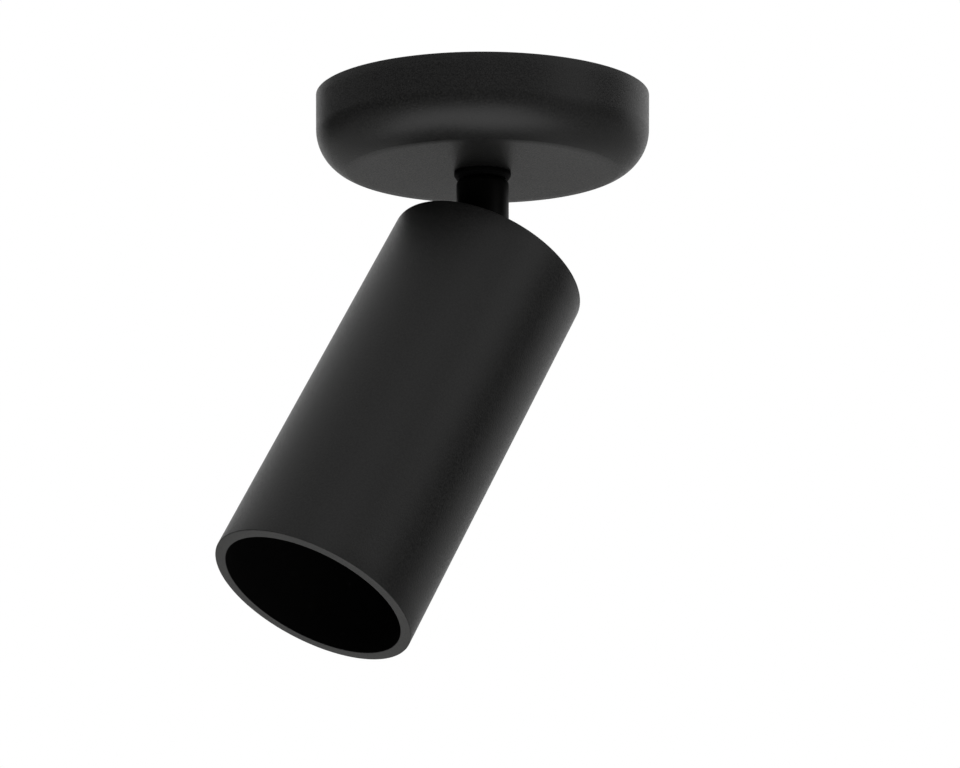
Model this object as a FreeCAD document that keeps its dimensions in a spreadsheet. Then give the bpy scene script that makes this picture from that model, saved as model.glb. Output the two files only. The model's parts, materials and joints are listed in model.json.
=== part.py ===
import FreeCAD, Part
import Sketcher
import math
import os
import re

# A surface mounted ceiling spotlight: a round canopy, a swivel stem and a tilting tube with a recessed lamp.
#
# Millimetres and degrees. The origin is the centre of the canopy's ceiling face and +Z is up, so everything
# hangs below z = 0. Pieces are made in one of three frames:
#   ceiling frame  the part's own frame, for what is fixed to the ceiling
#   swivel frame   the ceiling frame turned about Z by rest_pan_angle, for what turns with the stem
#   head frame     its origin is on the tilt screw and its Z runs up the tube, for what tilts with the tube
# The tube leans towards the swivel frame's -X side.

Vector = FreeCAD.Vector

# name, size, what it is
SIZES = [
    ("rest_pan_angle", 41.4, "how far the stem is turned about the vertical as stored"),
    ("rest_lean", 32.4, "how far the tube leans from straight down as stored"),
    ("lean_limit", 50, "the furthest that the tube leans"),
    ("running_gap", 0.1, "between faces that turn on each other"),
    ("thread_gap", 0.05, "radial, between a thread or pressed piece and its hole"),

    ("canopy_radius", 50, "outer radius at the ceiling"),
    ("canopy_height", 23.4, "ceiling to the flat underside"),
    ("canopy_wall", 1.5, "sheet thickness"),
    ("canopy_draft", 0.12, "how much narrower the side is where the rounding starts"),
    ("corner_radius", 13.35, "outer radius of the rounding"),
    ("corner_angle", 72.1, "how far the rounding turns before it meets the flat at a crease"),
    ("side_screw_drop", 5.5, "ceiling to the side screws"),
    ("side_screw_radius", 2, "M4 grub screw"),
    ("side_screw_length", 5, "its length"),
    ("screw_recess", 0.3, "how far a grub screw sits below the surface round it"),

    ("plate_gap", 0.4, "between the ceiling plate's edge and the canopy"),
    ("plate_thickness", 1.5, "sheet thickness"),
    ("tab_inset", 0.9, "from the plate's edge to a tab's outer face"),
    ("tab_width", 14, "width of a bent tab"),
    ("tab_length", 10, "ceiling to the end of a tab"),
    ("slot_spacing", 60, "between the middles of the two fixing slots"),
    ("slot_length", 12, "end to end"),
    ("slot_width", 5, "for M4 or No. 8 screws"),
    ("cable_hole_radius", 10, "where the supply cable comes in"),

    ("nipple_wall", 1.25, "wall of the hollow thread"),
    ("nipple_rise", 2.5, "how far the nipple stands above its lock nut"),
    ("backing_radius", 15, "large washer on the canopy's floor"),
    ("backing_thickness", 1.2, "its thickness"),
    ("tooth_washer_radius", 7.6, "outer radius"),
    ("tooth_washer_thickness", 0.8, "its thickness"),
    ("tooth_gap_radius", 0.55, "round gap between two teeth"),
    ("lock_nut_flats", 13, "across flats"),
    ("lock_nut_height", 3, "its height"),
    ("collar_radius", 8.5, "outer radius"),
    ("collar_height", 2.2, "its height"),
    ("edge_break", 0.25, "small chamfer on turned edges"),

    ("barrel_radius", 7.85, "outer radius of the stem"),
    ("barrel_wall", 1.35, "wall round its cavity"),
    ("barrel_round", 1.2, "round on the top edge"),
    ("barrel_top_wall", 2.4, "thickness of its top"),
    ("swivel_washer_thickness", 0.8, "washer between the barrel and the bush"),
    ("bush_height", 4, "height of the bush on the nipple's foot"),
    ("bush_wall", 2.25, "wall of the bush; it leaves room for the hollow M8 thread"),
    ("bush_play", 0.2, "radial, between the bush and the barrel"),
    ("groove_width", 1.9, "groove for the stop screw"),
    ("groove_depth", 1.1, "its depth"),
    ("stop_web", 1, "web that the groove leaves, at its floor; the stem stops on both sides of it"),
    ("stop_screw_radius", 1.25, "M2.5 grub screw"),
    ("stop_tip_radius", 0.75, "its dog point"),
    ("stop_tip_gap", 0.25, "from the dog point to the groove's floor"),
    ("plug_drop", 2.2, "from the bush to the knuckle's plug"),
    ("plug_height", 5.3, "how far the plug goes into the barrel"),

    ("cap_sweep_gap", 0.25, "from the barrel's foot to the cap that tilts past it"),
    ("tongue_inset", 0.35, "how much narrower the tongue is than the barrel, each side"),
    ("tongue_thickness", 8, "across the tongue"),
    ("slot_play", 0.3, "from the tongue to the ends of the cap's slot"),
    ("knuckle_screw_radius", 1.5, "M3 grub screw"),
    ("knuckle_screw_length", 3, "its length"),
    ("lead_radius", 1.5, "sheathed lead"),
    ("lead_gap", 0.2, "radial, round the lead in its bore"),
    ("lead_rise", 1.9, "how far the lead stands out of the nipple"),
    ("lead_bend_radius", 25, "bend of the lead in the stem"),
    ("lead_bend_rise", 1, "from the nipple's foot up to the corner of that bend"),
    ("lead_offset", 4.7, "from the tilt screw to the lead at its side"),
    ("lead_tail", 5.6, "from the tilt screw down to where the stem's lead ends"),

    ("hinge_radius", 1.5, "M3 tilt screw"),
    ("hinge_reach", 11, "from the middle to the end of its thread, and to its head's seat"),
    ("hinge_head_radius", 2.5, "its head"),
    ("hinge_head_height", 2.4, "its head"),
    ("spring_washer_thickness", 0.6, "under its head"),
    ("friction_washer_radius", 3, "outer radius"),
    ("friction_washer_thickness", 0.6, "beside the tongue"),

    ("tube_wall", 3.25, "wall of the tube"),
    ("tube_edge", 0.2, "chamfer on the tube's edges"),
    ("cap_rise", 3.13, "from the tilt screw to the top of the cap"),
    ("cap_thickness", 7.1, "its thickness"),
    ("cap_ledge", 0.75, "width of the step in the tube that the cap sits on"),
    ("lamp_play", 2, "radial, between the lamp and the tube"),
    ("lamp_recess", 34.07, "from the tube's mouth to the lamp's front"),

    ("bracket_drop", 17.2, "from the tilt screw to the bracket's underside"),
    ("bracket_thickness", 1.2, "sheet thickness"),
    ("bracket_width", 12, "its width"),
    ("bracket_play", 1.5, "radial, between the bracket's legs and the tube"),
    ("bracket_foot", 8, "length of each foot"),
    ("bracket_hole_radius", 4.5, "for the lead"),
    ("small_screw_radius", 1.5, "M3"),
    ("small_head_radius", 2.75, "its head"),
    ("small_head_height", 1.8, "its head"),
    ("small_screw_grip", 4, "how far an M3 screw goes into what it holds"),

    ("holder_length", 26.4, "across the tube, along the bracket"),
    ("holder_width", 18, "the other way"),
    ("holder_height", 14, "its height"),
    ("holder_screw_spacing", 19.2, "between its two screws"),
    ("holder_face", 2.5, "thickness of its front wall"),
    ("holder_chamber", 4, "height of the chambers behind the front wall"),
    ("chamber_margin_angle", 16, "degrees that a chamber runs on past the pins' travel, each way"),
    ("contact_width", 3.6, "leaf that touches a pin's head"),
    ("lead_entry", 3, "how far the lead goes into the holder"),

    ("lamp_gap", 0.3, "between the holder and the lamp"),
    ("lamp_radius", 25, "outer radius at the front"),
    ("lamp_neck_radius", 11, "base that the pins stand on"),
    ("lamp_neck_length", 9, "its length"),
    ("lamp_cone_length", 30, "from the neck to the full radius"),
    ("lamp_rim_length", 14, "at the full radius"),
    ("lamp_wall", 1.4, "wall round the board"),
    ("lamp_twist_angle", 18, "from locked to free"),
    ("pin_spacing", 10, "between the two pins"),
    ("pin_radius", 1.6, "a pin's shank"),
    ("pin_head_radius", 2.4, "a pin's head"),
    ("pin_head_height", 2, "a pin's head"),
    ("pin_root", 2, "how far a pin goes into the base"),
    ("pin_play", 0.25, "round a pin in the holder"),
    ("lens_thickness", 2.6, "its thickness"),
    ("lens_recess", 0.8, "from the rim to the lens"),
    ("board_radius", 19, "its radius"),
    ("board_thickness", 1.6, "its thickness"),
    ("board_hole_radius", 0.9, "holes for its two wires"),
    ("board_hole_reach", 5.5, "from the middle to each of them"),
    ("board_depth", 21.5, "from the lamp's front to the board's back"),
    ("chip_size", 3.5, "side of a light source"),
    ("chip_height", 0.7, "its height"),
    ("chip_ring", 11, "radius of the ring of light sources"),

    ("block_length", 26, "terminal block, along X"),
    ("block_width", 17, "along Y"),
    ("block_height", 12.5, "along Z"),
    ("block_inset", 20.6, "from its middle to the plate's edge, along Y"),
    ("pole_pitch", 8, "between two poles"),
    ("clamp_radius", 2.1, "brass tube in a pole"),
    ("clamp_bore", 1.3, "radius of its bore"),
    ("clamp_length", 14, "its length"),
    ("clamp_drop", 7.6, "from the plate to the clamps' middle"),
    ("terminal_screw_radius", 1.2, "clamp screws, and the block's fixing screws"),
    ("terminal_screw_length", 3, "a clamp screw"),
    ("terminal_screw_offset", 3.8, "from a clamp's middle to each of its screws"),
    ("terminal_access_radius", 1.7, "hole for the screwdriver"),
    ("terminal_head_radius", 2.2, "head of a fixing screw"),
    ("terminal_head_height", 1.6, "its height"),
    ("slit_width", 0.5, "screwdriver slit"),
    ("slit_depth", 0.6, "its depth"),
    ("core_radius", 0.6, "insulated core"),
    ("core_offset", 0.72, "from the sheath's middle to each core's"),
    ("core_grip", 5.5, "how far a core goes into its clamp"),
    ("core_crest", 4.6, "from the ceiling to the top of a core's arch"),
    ("core_break", 0.3, "from the turning lead to the cores that stand still"),
    ("earth_screw_inset", 18.1, "from the plate's edge, along X"),
    ("earth_screw_gap", 5, "from its middle to the terminal block, along Y"),
    ("earth_screw_radius", 2, "M4"),
    ("earth_head_radius", 3.6, "its head"),
    ("earth_head_height", 2.4, "its head"),
    ("lug_radius", 4, "ring of the earth lug"),
    ("lug_thickness", 0.8, "sheet of the lug"),
    ("lug_barrel_radius", 1.3, "crimped barrel of the lug"),
    ("lug_barrel_length", 5, "its length"),
]
NAMES = {name for name, size, note in SIZES}

doc = FreeCAD.newDocument("ceiling_spotlight")
sheet = doc.addObject("Spreadsheet::Sheet", "Sizes")
for row, (name, size, note) in enumerate(SIZES, start=1):
    sheet.set(f"A{row}", name)
    sheet.set(f"B{row}", str(size))
    sheet.set(f"C{row}", note)
    sheet.setAlias(f"B{row}", name)
doc.recompute()


# ---- formulas, sketches and primitives ----

def formula(text):
    """The expression, with the name of each size pointing at its cell."""
    return re.sub(r"[a-z_]+", lambda m: "Sizes." + m.group() if m.group() in NAMES else m.group(), text)


def amount(text):
    """The number that a formula comes to."""
    return float(sheet.evalExpression(formula(text)))


def bind(made, **formulas):
    for name, text in formulas.items():
        made.setExpression(name, formula(text))
    return made


def put(made, x="0", y="0", z="0", turn="0; 0; 0"):
    """Places an object by formulas. turn is its yaw, pitch and roll."""
    made.setExpression("Placement", formula(f"placement(vector({x}; {y}; {z}); rotation({turn}))"))
    return made


ALONG = {"z": "0; 0; 0", "x": "0; 90; 0", "-x": "0; -90; 0", "y": "0; 0; -90"}


def cylinder(name, radius, height, x="0", y="0", z="0", along="z"):
    return put(bind(doc.addObject("Part::Cylinder", name), Radius=radius, Height=height), x, y, z, ALONG[along])


def block(name, length, width, height, x="0", y="0", z="0"):
    """A box that is centred on x and y and stands on z."""
    made = bind(doc.addObject("Part::Box", name), Length=length, Width=width, Height=height)
    return put(made, f"{x} - ({length}) / 2", f"{y} - ({width}) / 2", z)


def hexagon(name, flats, height, x="0", y="0", z="0", along="z"):
    made = bind(doc.addObject("Part::Prism", name), Circumradius=f"({flats}) / 2 / cos(30)", Height=height)
    made.Polygon = 6
    return put(made, x, y, z, ALONG[along])


def fuse(name, *shapes):
    made = doc.addObject("Part::MultiFuse", name)
    made.Shapes = list(shapes)
    made.Refine = True
    return made


def cut(name, base, *tools):
    made = doc.addObject("Part::Cut", name)
    made.Base = base
    made.Tool = tools[0] if len(tools) == 1 else fuse(name + "_tools", *tools)
    return made


def common(name, base, tool):
    made = doc.addObject("Part::Common", name)
    made.Base = base
    made.Tool = tool
    return made


def group(name, *solids):
    made = doc.addObject("Part::Compound", name)
    made.Links = list(solids)
    return made


def ring(name, outer, inner, height, **where):
    return cut(name, cylinder(f"{name}_disc", outer, height, **where),
               cylinder(f"{name}_hole", inner, height, **where))


def sector(name, outer, inner, height, z, angle, first):
    """A piece of a ring about Z that spans angle, from the bearing first."""
    disc = bind(cylinder(f"{name}_disc", outer, height, z=z), Angle=angle)
    put(disc, z=z, turn=f"{first}; 0; 0")
    return cut(name, disc, cylinder(f"{name}_core", inner, height, z=z))


def draw(body, name, role, corners):
    """A closed outline on one of the body's planes. A corner is (x, y), or (x, y, radius, side) where the edge
    that leaves it is an arc whose centre is on its left (1) or right (-1)."""
    sketch = body.newObject("Sketcher::SketchObject", name)
    plane = next(feature for feature in body.Origin.OriginFeatures if feature.Role == role)
    sketch.AttachmentSupport = [(plane, "")]
    sketch.MapMode = "FlatFace"
    points = [Vector(amount(corner[0]), amount(corner[1]), 0) for corner in corners]
    ends = []
    for i, corner in enumerate(corners):
        here, there = points[i], points[(i + 1) % len(points)]
        if len(corner) == 2:
            sketch.addGeometry(Part.LineSegment(here, there), False)
            ends.append((1, 2))
            continue
        radius, side = amount(corner[2]), corner[3]
        chord = there - here
        across = Vector(-chord.y, chord.x, 0).normalize() * side
        centre = (here + there) / 2 + across * math.sqrt(max(radius**2 - (chord.Length / 2) ** 2, 0))
        first, last = (here, there) if side > 0 else (there, here)
        angles = [math.atan2(point.y - centre.y, point.x - centre.x) for point in (first, last)]
        sketch.addGeometry(Part.ArcOfCircle(Part.Circle(centre, Vector(0, 0, 1), radius), *angles), False)
        ends.append((1, 2) if side > 0 else (2, 1))
    for i in range(len(corners)):
        j = (i + 1) % len(corners)
        sketch.addConstraint(Sketcher.Constraint("Coincident", i, ends[i][1], j, ends[j][0]))
    for i, corner in enumerate(corners):
        for kind, axis, text, size in (("DistanceX", -2, corner[0], points[i].x),
                                       ("DistanceY", -1, corner[1], points[i].y)):
            if text == "0":
                sketch.addConstraint(Sketcher.Constraint("PointOnObject", i, ends[i][0], axis))
                continue
            number = sketch.addConstraint(Sketcher.Constraint(kind, -1, 1, i, ends[i][0], size))
            sketch.setExpression(f"Constraints[{number}]", formula(text))
        if len(corner) == 4:
            number = sketch.addConstraint(Sketcher.Constraint("Radius", i, amount(corner[2])))
            sketch.setExpression(f"Constraints[{number}]", formula(corner[2]))
    return sketch


def turned(name, corners):
    """A body turned about Z. Its outline's corners are (radius, height)."""
    body = doc.addObject("PartDesign::Body", name)
    turn = body.newObject("PartDesign::Revolution", f"{name}_turn")
    turn.Profile = draw(body, f"{name}_outline", "XZ_Plane", corners)
    turn.ReferenceAxis = (turn.Profile[0], ["V_Axis"])
    turn.Angle = 360
    body.Tip = turn
    return body


def bent_sheet(name, corners, width):
    """A body padded both ways along X. Its outline's corners are (y, z)."""
    body = doc.addObject("PartDesign::Body", name)
    pad = body.newObject("PartDesign::Pad", f"{name}_pad")
    pad.Profile = draw(body, f"{name}_outline", "YZ_Plane", corners)
    pad.SideType = "Symmetric"
    bind(pad, Length=width)
    body.Tip = pad
    return body


def grub_screw(name, radius, length, x, z, along):
    """A headless screw that starts at x with its socket and runs along X or against it."""
    rod = cylinder(f"{name}_rod", radius, length, x, z=z, along=along)
    socket = hexagon(f"{name}_socket", radius, f"({length}) / 3", x, z=z, along=along)
    return cut(name, rod, socket)


def cap_screw(name, radius, length, head_radius, head_height, x, y, seat, up=True):
    """A socket screw whose head bears on something at the height seat, with its shank going up or down."""
    head_foot = f"({seat} - {head_height})" if up else seat
    shank_foot = seat if up else f"({seat} - ({length}))"
    socket_foot = head_foot if up else f"({seat} + {head_height} / 2)"
    return cut(name, fuse(f"{name}_blank", cylinder(f"{name}_head", head_radius, head_height, x, y, head_foot),
                          cylinder(f"{name}_shank", radius, length, x, y, shank_foot)),
               hexagon(f"{name}_socket", head_radius, f"{head_height} / 2", x, y, socket_foot))


ARC_SHARE = 0.45  # how much of a straight run the arc at each of its ends may take up


def lead(name, route, radius, bend_radius=None):
    """A round lead along straight runs and tangent arcs, which are as large as the runs or bend_radius allow."""
    points = [Vector(*(amount(text) for text in place)) for place in route]
    edges, here, radii = [], points[0], []
    for before, corner, after in zip(points, points[1:], points[2:]):
        back, on = before - corner, after - corner
        half_turn = (math.pi - back.getAngle(on)) / 2
        reach = ARC_SHARE * min(back.Length, on.Length)
        if bend_radius:
            reach = min(reach, amount(bend_radius) * math.tan(half_turn))
        back.normalize()
        on.normalize()
        radii.append(reach / math.tan(half_turn))
        centre = corner + (back + on).normalize() * (radii[-1] / math.cos(half_turn))
        middle = centre + (corner - centre).normalize() * radii[-1]
        edges.append(Part.LineSegment(here, corner + back * reach).toShape())
        edges.append(Part.Arc(corner + back * reach, middle, corner + on * reach).toShape())
        here = corner + on * reach
    edges.append(Part.LineSegment(here, points[-1]).toShape())
    path = Part.Wire(edges)
    section = Part.Wire(Part.Circle(points[0], points[1] - points[0], amount(radius)).toShape())
    made = doc.addObject("Part::Feature", name)
    made.Shape = path.makePipeShell([section], True, False)
    share = made.Shape.Volume / (math.pi * amount(radius) ** 2 * path.Length)
    print(f"{name}: bend radii {[round(r, 1) for r in radii]}, volume {share:.4f} of its run's")
    return made


# ---- heights and radii that several pieces share ----

canopy_floor = "-(canopy_height - canopy_wall)"
backing_top = f"({canopy_floor} + backing_thickness)"
tooth_top = f"({backing_top} + tooth_washer_thickness)"
nut_top = f"({tooth_top} + lock_nut_height)"
nipple_top = f"({nut_top} + nipple_rise)"
barrel_cavity = "(barrel_radius - barrel_wall)"
bush_radius = f"({barrel_cavity} - bush_play)"
nipple_hole = f"({bush_radius} - bush_wall)"
nipple_radius = f"({nipple_hole} - thread_gap)"
nipple_bore = f"({nipple_radius} - nipple_wall)"
plate_radius = "(canopy_radius - canopy_wall - plate_gap)"
plate_low = "-plate_thickness"
tab_reach = f"({plate_radius} - tab_inset)"
clamp_z = "-(plate_thickness + clamp_drop)"
block_low = "-(plate_thickness + block_height)"
block_y = f"({plate_radius} - block_inset)"
clamp_face = f"({block_y} - clamp_length / 2)"
earth_screw_x = f"({plate_radius} - earth_screw_inset)"
earth_screw_y = f"({block_y} - block_width / 2 - earth_screw_gap)"

collar_foot = "-(canopy_height + collar_height)"
barrel_top = f"({collar_foot} - running_gap)"
barrel_ceiling = f"({barrel_top} - barrel_top_wall)"
swivel_washer_top = f"({barrel_ceiling} - running_gap / 2)"
bush_top = f"({swivel_washer_top} - swivel_washer_thickness - running_gap / 2)"
bush_foot = f"({bush_top} - bush_height)"
plug_top = f"({bush_foot} - plug_drop)"
barrel_foot = f"({plug_top} - plug_height)"
groove_z = f"({bush_top} - bush_height / 2)"
groove_floor = f"({bush_radius} - groove_depth)"
plug_z = f"({plug_top} - plug_height / 2)"
tongue_radius = "(barrel_radius - tongue_inset)"
# the barrel's foot is just high enough for the cap to tilt past it
pivot_z = f"({barrel_foot} - (cap_rise + cap_sweep_gap + barrel_radius * sin(lean_limit)) / cos(lean_limit))"
lead_bend_z = f"({bush_foot} + lead_bend_rise)"
lead_slant = f"(atan(lead_offset / ({lead_bend_z} - {pivot_z})) / 1deg)"

# in the head frame
tube_bore = "(lamp_radius + lamp_play)"
tube_radius = f"({tube_bore} + tube_wall)"
cap_low = "(cap_rise - cap_thickness)"
slot_half = "(tongue_thickness / 2 + friction_washer_thickness + 2 * running_gap)"
# the slot's far end is where the tongue's edge crosses the cap's top at the lean limit
slot_far = (f"((cap_rise + {tongue_radius} * sin(lean_limit)) / cos(lean_limit) * sin(lean_limit)"
            f" + {tongue_radius} * cos(lean_limit) + slot_play)")
slot_near = f"({tongue_radius} + slot_play)"
bracket_low = "-bracket_drop"
bracket_top = "(bracket_thickness - bracket_drop)"
bracket_reach = f"({tube_bore} - bracket_play)"
bracket_screw_y = f"({bracket_reach} - (bracket_foot + bracket_thickness) / 2)"
foot_low = f"({cap_low} - bracket_thickness)"
holder_low = "(-bracket_drop - holder_height)"
chamber_low = f"({holder_low} + holder_face)"
lamp_top = f"({holder_low} - lamp_gap)"
neck_low = f"({lamp_top} - lamp_neck_length)"
cone_low = f"({neck_low} - lamp_cone_length)"
lamp_low = f"({cone_low} - lamp_rim_length)"
tube_low = f"({lamp_low} - lamp_recess)"
pin_ring = "(pin_spacing / 2)"
board_top = f"({lamp_low} + board_depth)"
# where the stem's lead leaves the tongue: its distance from the pivot across and down, then as the head sees it
lead_exit_x = f"(lead_offset * (1 + lead_tail / ({lead_bend_z} - {pivot_z})))"
exit_x = f"(lead_tail * sin(rest_lean) - {lead_exit_x} * cos(rest_lean))"
exit_z = f"(-{lead_exit_x} * sin(rest_lean) - lead_tail * cos(rest_lean))"

SIDES = (("right", "1"), ("left", "-1"))
ENDS = (("inner", "-1"), ("outer", "1"))
POLES = (("live", "-1"), ("neutral", "0"), ("earth", "1"))


# ---- fixed to the ceiling ----

def make_canopy():
    centre_x = "(canopy_radius - canopy_draft - corner_radius)"
    centre_z = "-(canopy_height - corner_radius * sin(corner_angle))"
    inner_radius = "(corner_radius - canopy_wall)"
    shell = turned("canopy_shell", [
        (nipple_hole, "-canopy_height"),
        (f"{centre_x} + corner_radius * cos(corner_angle)", "-canopy_height", "corner_radius", 1),
        (f"{centre_x} + corner_radius", centre_z),
        ("canopy_radius", "0"),
        ("canopy_radius - canopy_wall", "0"),
        (f"{centre_x} + {inner_radius}", centre_z, inner_radius, -1),
        (f"{centre_x} + sqrt({inner_radius}^2 - ({canopy_floor} - {centre_z})^2)", canopy_floor),
        (nipple_hole, canopy_floor),
    ])
    drill = cylinder("canopy_drill", "side_screw_radius + thread_gap", "2 * (canopy_radius + canopy_wall)",
                     "-canopy_radius - canopy_wall", z="-side_screw_drop", along="x")
    return [cut("canopy", shell, drill)]


def make_ceiling_plate():
    through = "4 * plate_thickness"
    low = "-2 * plate_thickness"
    solids = [cylinder("plate_disc", plate_radius, "plate_thickness", z=plate_low)]
    holes = [cylinder("plate_cable_hole", "cable_hole_radius", through, z=low),
             cylinder("plate_tab_holes", "side_screw_radius + thread_gap", "2 * canopy_radius",
                      "-canopy_radius", z="-side_screw_drop", along="x"),
             cylinder("plate_earth_hole", "earth_screw_radius + thread_gap", through, earth_screw_x,
                      earth_screw_y, low)]
    for side, sign in SIDES:
        middle = f"{sign} * slot_spacing / 2"
        straight = "(slot_length - slot_width)"
        solids.append(block(f"plate_tab_{side}", "plate_thickness", "tab_width", "tab_length",
                            f"{sign} * ({tab_reach} - plate_thickness / 2)", z="-tab_length"))
        holes.append(block(f"plate_notch_{side}", "2 * tab_inset + 2 * canopy_wall", "tab_width + canopy_wall",
                           through, f"{sign} * ({tab_reach} + tab_inset + canopy_wall)", z=low))
        holes.append(block(f"plate_slot_{side}", straight, "slot_width", through, middle, z=low))
        holes.append(cylinder(f"plate_fixing_hole_{side}", "terminal_screw_radius + thread_gap", through,
                              f"{sign} * pole_pitch / 2", block_y, low))
        for end, way in ENDS:
            holes.append(cylinder(f"plate_slot_{side}_{end}", "slot_width / 2", through,
                                  f"{middle} + {way} * {straight} / 2", z=low))
    return [cut("ceiling_plate", fuse("plate_blank", *solids), *holes)]


def make_side_screws():
    screws = []
    for side, sign, along in (("right", "1", "-x"), ("left", "-1", "x")):
        start = f"{sign} * (canopy_radius - screw_recess)"
        screws.append(grub_screw(f"side_screw_{side}", "side_screw_radius", "side_screw_length", start,
                                 "-side_screw_drop", along))
    return [group("canopy_side_screws", *screws)]


def make_nipple_stack():
    nipple = ring("threaded_nipple", nipple_radius, nipple_bore, f"{nipple_top} - {bush_foot}", z=bush_foot)
    backing = ring("backing_washer", "backing_radius", nipple_hole, "backing_thickness", z=canopy_floor)
    gaps = [cylinder(f"tooth_gap_{bearing}", "tooth_gap_radius", "3 * tooth_washer_thickness",
                     f"tooth_washer_radius * cos({bearing})", f"tooth_washer_radius * sin({bearing})",
                     f"{backing_top} - tooth_washer_thickness") for bearing in range(0, 360, 30)]
    tooth = cut("tooth_washer", ring("tooth_ring", "tooth_washer_radius", nipple_hole, "tooth_washer_thickness",
                                     z=backing_top), *gaps)
    nut = cut("nipple_lock_nut", hexagon("lock_nut_blank", "lock_nut_flats", "lock_nut_height", z=tooth_top),
              cylinder("lock_nut_hole", nipple_hole, "lock_nut_height", z=tooth_top))
    collar = turned("collar_ring", [
        (nipple_hole, collar_foot),
        ("collar_radius - edge_break", collar_foot),
        ("collar_radius", f"{collar_foot} + edge_break"),
        ("collar_radius", "-canopy_height"),
        (nipple_hole, "-canopy_height"),
    ])
    return [nipple, backing, tooth, nut, collar]


def make_swivel_bush():
    """The bush carries the barrel. The stop screw runs in its groove, and the web left in it is the stop."""
    half_angle = f"(180 - asin(stop_web / 2 / {groove_floor}) / 1deg)"
    blank = ring("bush_blank", bush_radius, nipple_hole, "bush_height", z=bush_foot)
    groove = sector("bush_groove", f"{bush_radius} + groove_depth", groove_floor, "groove_width",
                    f"{groove_z} - groove_width / 2", f"2 * {half_angle}", f"-{half_angle}")
    return [put(cut("swivel_bush", blank, groove), turn="rest_pan_angle; 0; 0")]


def make_terminal_block():
    screw_top = f"({clamp_z} - core_radius - thread_gap)"
    screw_low = f"({screw_top} - terminal_screw_length)"
    face = f"({block_y} - block_width / 2)"
    holes, clamps, screws, fixings = [], [], [], []
    for pole, sign in POLES:
        x = f"{sign} * pole_pitch"
        holes.append(cylinder(f"{pole}_seat", "clamp_radius + thread_gap", "block_width", x, face, clamp_z,
                              "y"))
        bores = [cylinder(f"{pole}_bore", "clamp_bore", "clamp_length", x, clamp_face, clamp_z, "y")]
        for end, way in ENDS:
            y = f"({block_y} + {way} * terminal_screw_offset)"
            holes.append(cylinder(f"{pole}_{end}_access", "terminal_access_radius", f"{clamp_z} - {block_low}",
                                  x, y, block_low))
            bores.append(cylinder(f"{pole}_{end}_thread", "terminal_screw_radius + thread_gap",
                                  "2 * clamp_radius", x, y, f"{clamp_z} - 2 * clamp_radius"))
            rod = cylinder(f"{pole}_{end}_rod", "terminal_screw_radius", "terminal_screw_length", x, y,
                           screw_low)
            slit = block(f"{pole}_{end}_slit", "3 * terminal_screw_radius", "slit_width", "slit_depth",
                         x, y, screw_low)
            screws.append(cut(f"{pole}_{end}_screw", rod, slit))
        tube = cylinder(f"{pole}_tube", "clamp_radius", "clamp_length", x, clamp_face, clamp_z, "y")
        clamps.append(cut(f"{pole}_clamp", tube, *bores))
    for side, sign in SIDES:
        x = f"{sign} * pole_pitch / 2"
        holes.append(cylinder(f"block_fixing_hole_{side}", "terminal_screw_radius + thread_gap", "block_height",
                              x, block_y, block_low))
        fixings.append(cap_screw(f"block_screw_{side}", "terminal_screw_radius",
                                 "block_height + plate_thickness", "terminal_head_radius",
                                 "terminal_head_height", x, block_y, block_low))
    blank = block("block_blank", "block_length", "block_width", "block_height", y=block_y, z=block_low)
    return [cut("terminal_block", blank, *holes), group("terminal_clamps", *clamps),
            group("terminal_screws", *screws), group("terminal_fixing_screws", *fixings)]


def make_earth_screw_and_lug():
    lug_low = "-(plate_thickness + lug_thickness)"
    screw = cap_screw("earth_screw", "earth_screw_radius", "lug_thickness + plate_thickness",
                      "earth_head_radius", "earth_head_height", earth_screw_x, earth_screw_y, lug_low)
    barrel = cylinder("lug_barrel", "lug_barrel_radius", "lug_barrel_length", f"{earth_screw_x} - lug_radius",
                      earth_screw_y, "-(plate_thickness + lug_barrel_radius)", "-x")
    strap = block("lug_strap", "lug_radius", "2 * lug_barrel_radius", "lug_thickness",
                  f"{earth_screw_x} - lug_radius", earth_screw_y, lug_low)
    disc = cylinder("lug_disc", "lug_radius", "lug_thickness", earth_screw_x, earth_screw_y, lug_low)
    hole = cylinder("lug_hole", "earth_screw_radius + thread_gap", "2 * lug_barrel_radius", earth_screw_x,
                    earth_screw_y, "-(plate_thickness + 2 * lug_barrel_radius)")
    return [screw, cut("earth_lug", fuse("lug_blank", disc, strap, barrel), hole)]


def make_cores():
    """The lead's three cores arch over to the terminal block. The jumper joins its earth pole to the lug."""
    foot_z = f"{nipple_top} + lead_rise + core_break"
    end_y = f"{clamp_face} + core_grip"
    beside = "(core_radius + thread_gap / 2)"
    cores = []
    for (pole, sign), bearing in zip(POLES, (210, 90, 330)):
        x = f"({sign} * pole_pitch - {beside})" if pole == "earth" else f"{sign} * pole_pitch"
        foot_x = f"core_offset * cos({bearing})"
        foot_y = f"core_offset * sin({bearing})"
        cores.append(lead(f"{pole}_core", [
            (foot_x, foot_y, foot_z),
            (f"{x} / 5", foot_y, "-core_crest"),
            (f"{x} * 0.9", f"{clamp_face} - 8.5", "-core_crest - 0.3"),
            (x, f"{clamp_face} - 4.5", clamp_z),
            (x, end_y, clamp_z),
        ], "core_radius"))
    x = f"(pole_pitch + {beside})"
    lug_end = f"({earth_screw_x} - lug_radius - lug_barrel_length)"
    jumper = lead("earth_jumper", [
        (lug_end, earth_screw_y, "-(plate_thickness + lug_barrel_radius)"),
        (f"{lug_end} - 6.5", earth_screw_y, "-(plate_thickness + lug_barrel_radius)"),
        (x, f"{clamp_face} - 5", clamp_z),
        (x, end_y, clamp_z),
    ], "core_radius")
    return cores + [jumper]


# ---- turns with the stem ----

def swivelled(made):
    return put(made, turn="rest_pan_angle; 0; 0")


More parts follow.
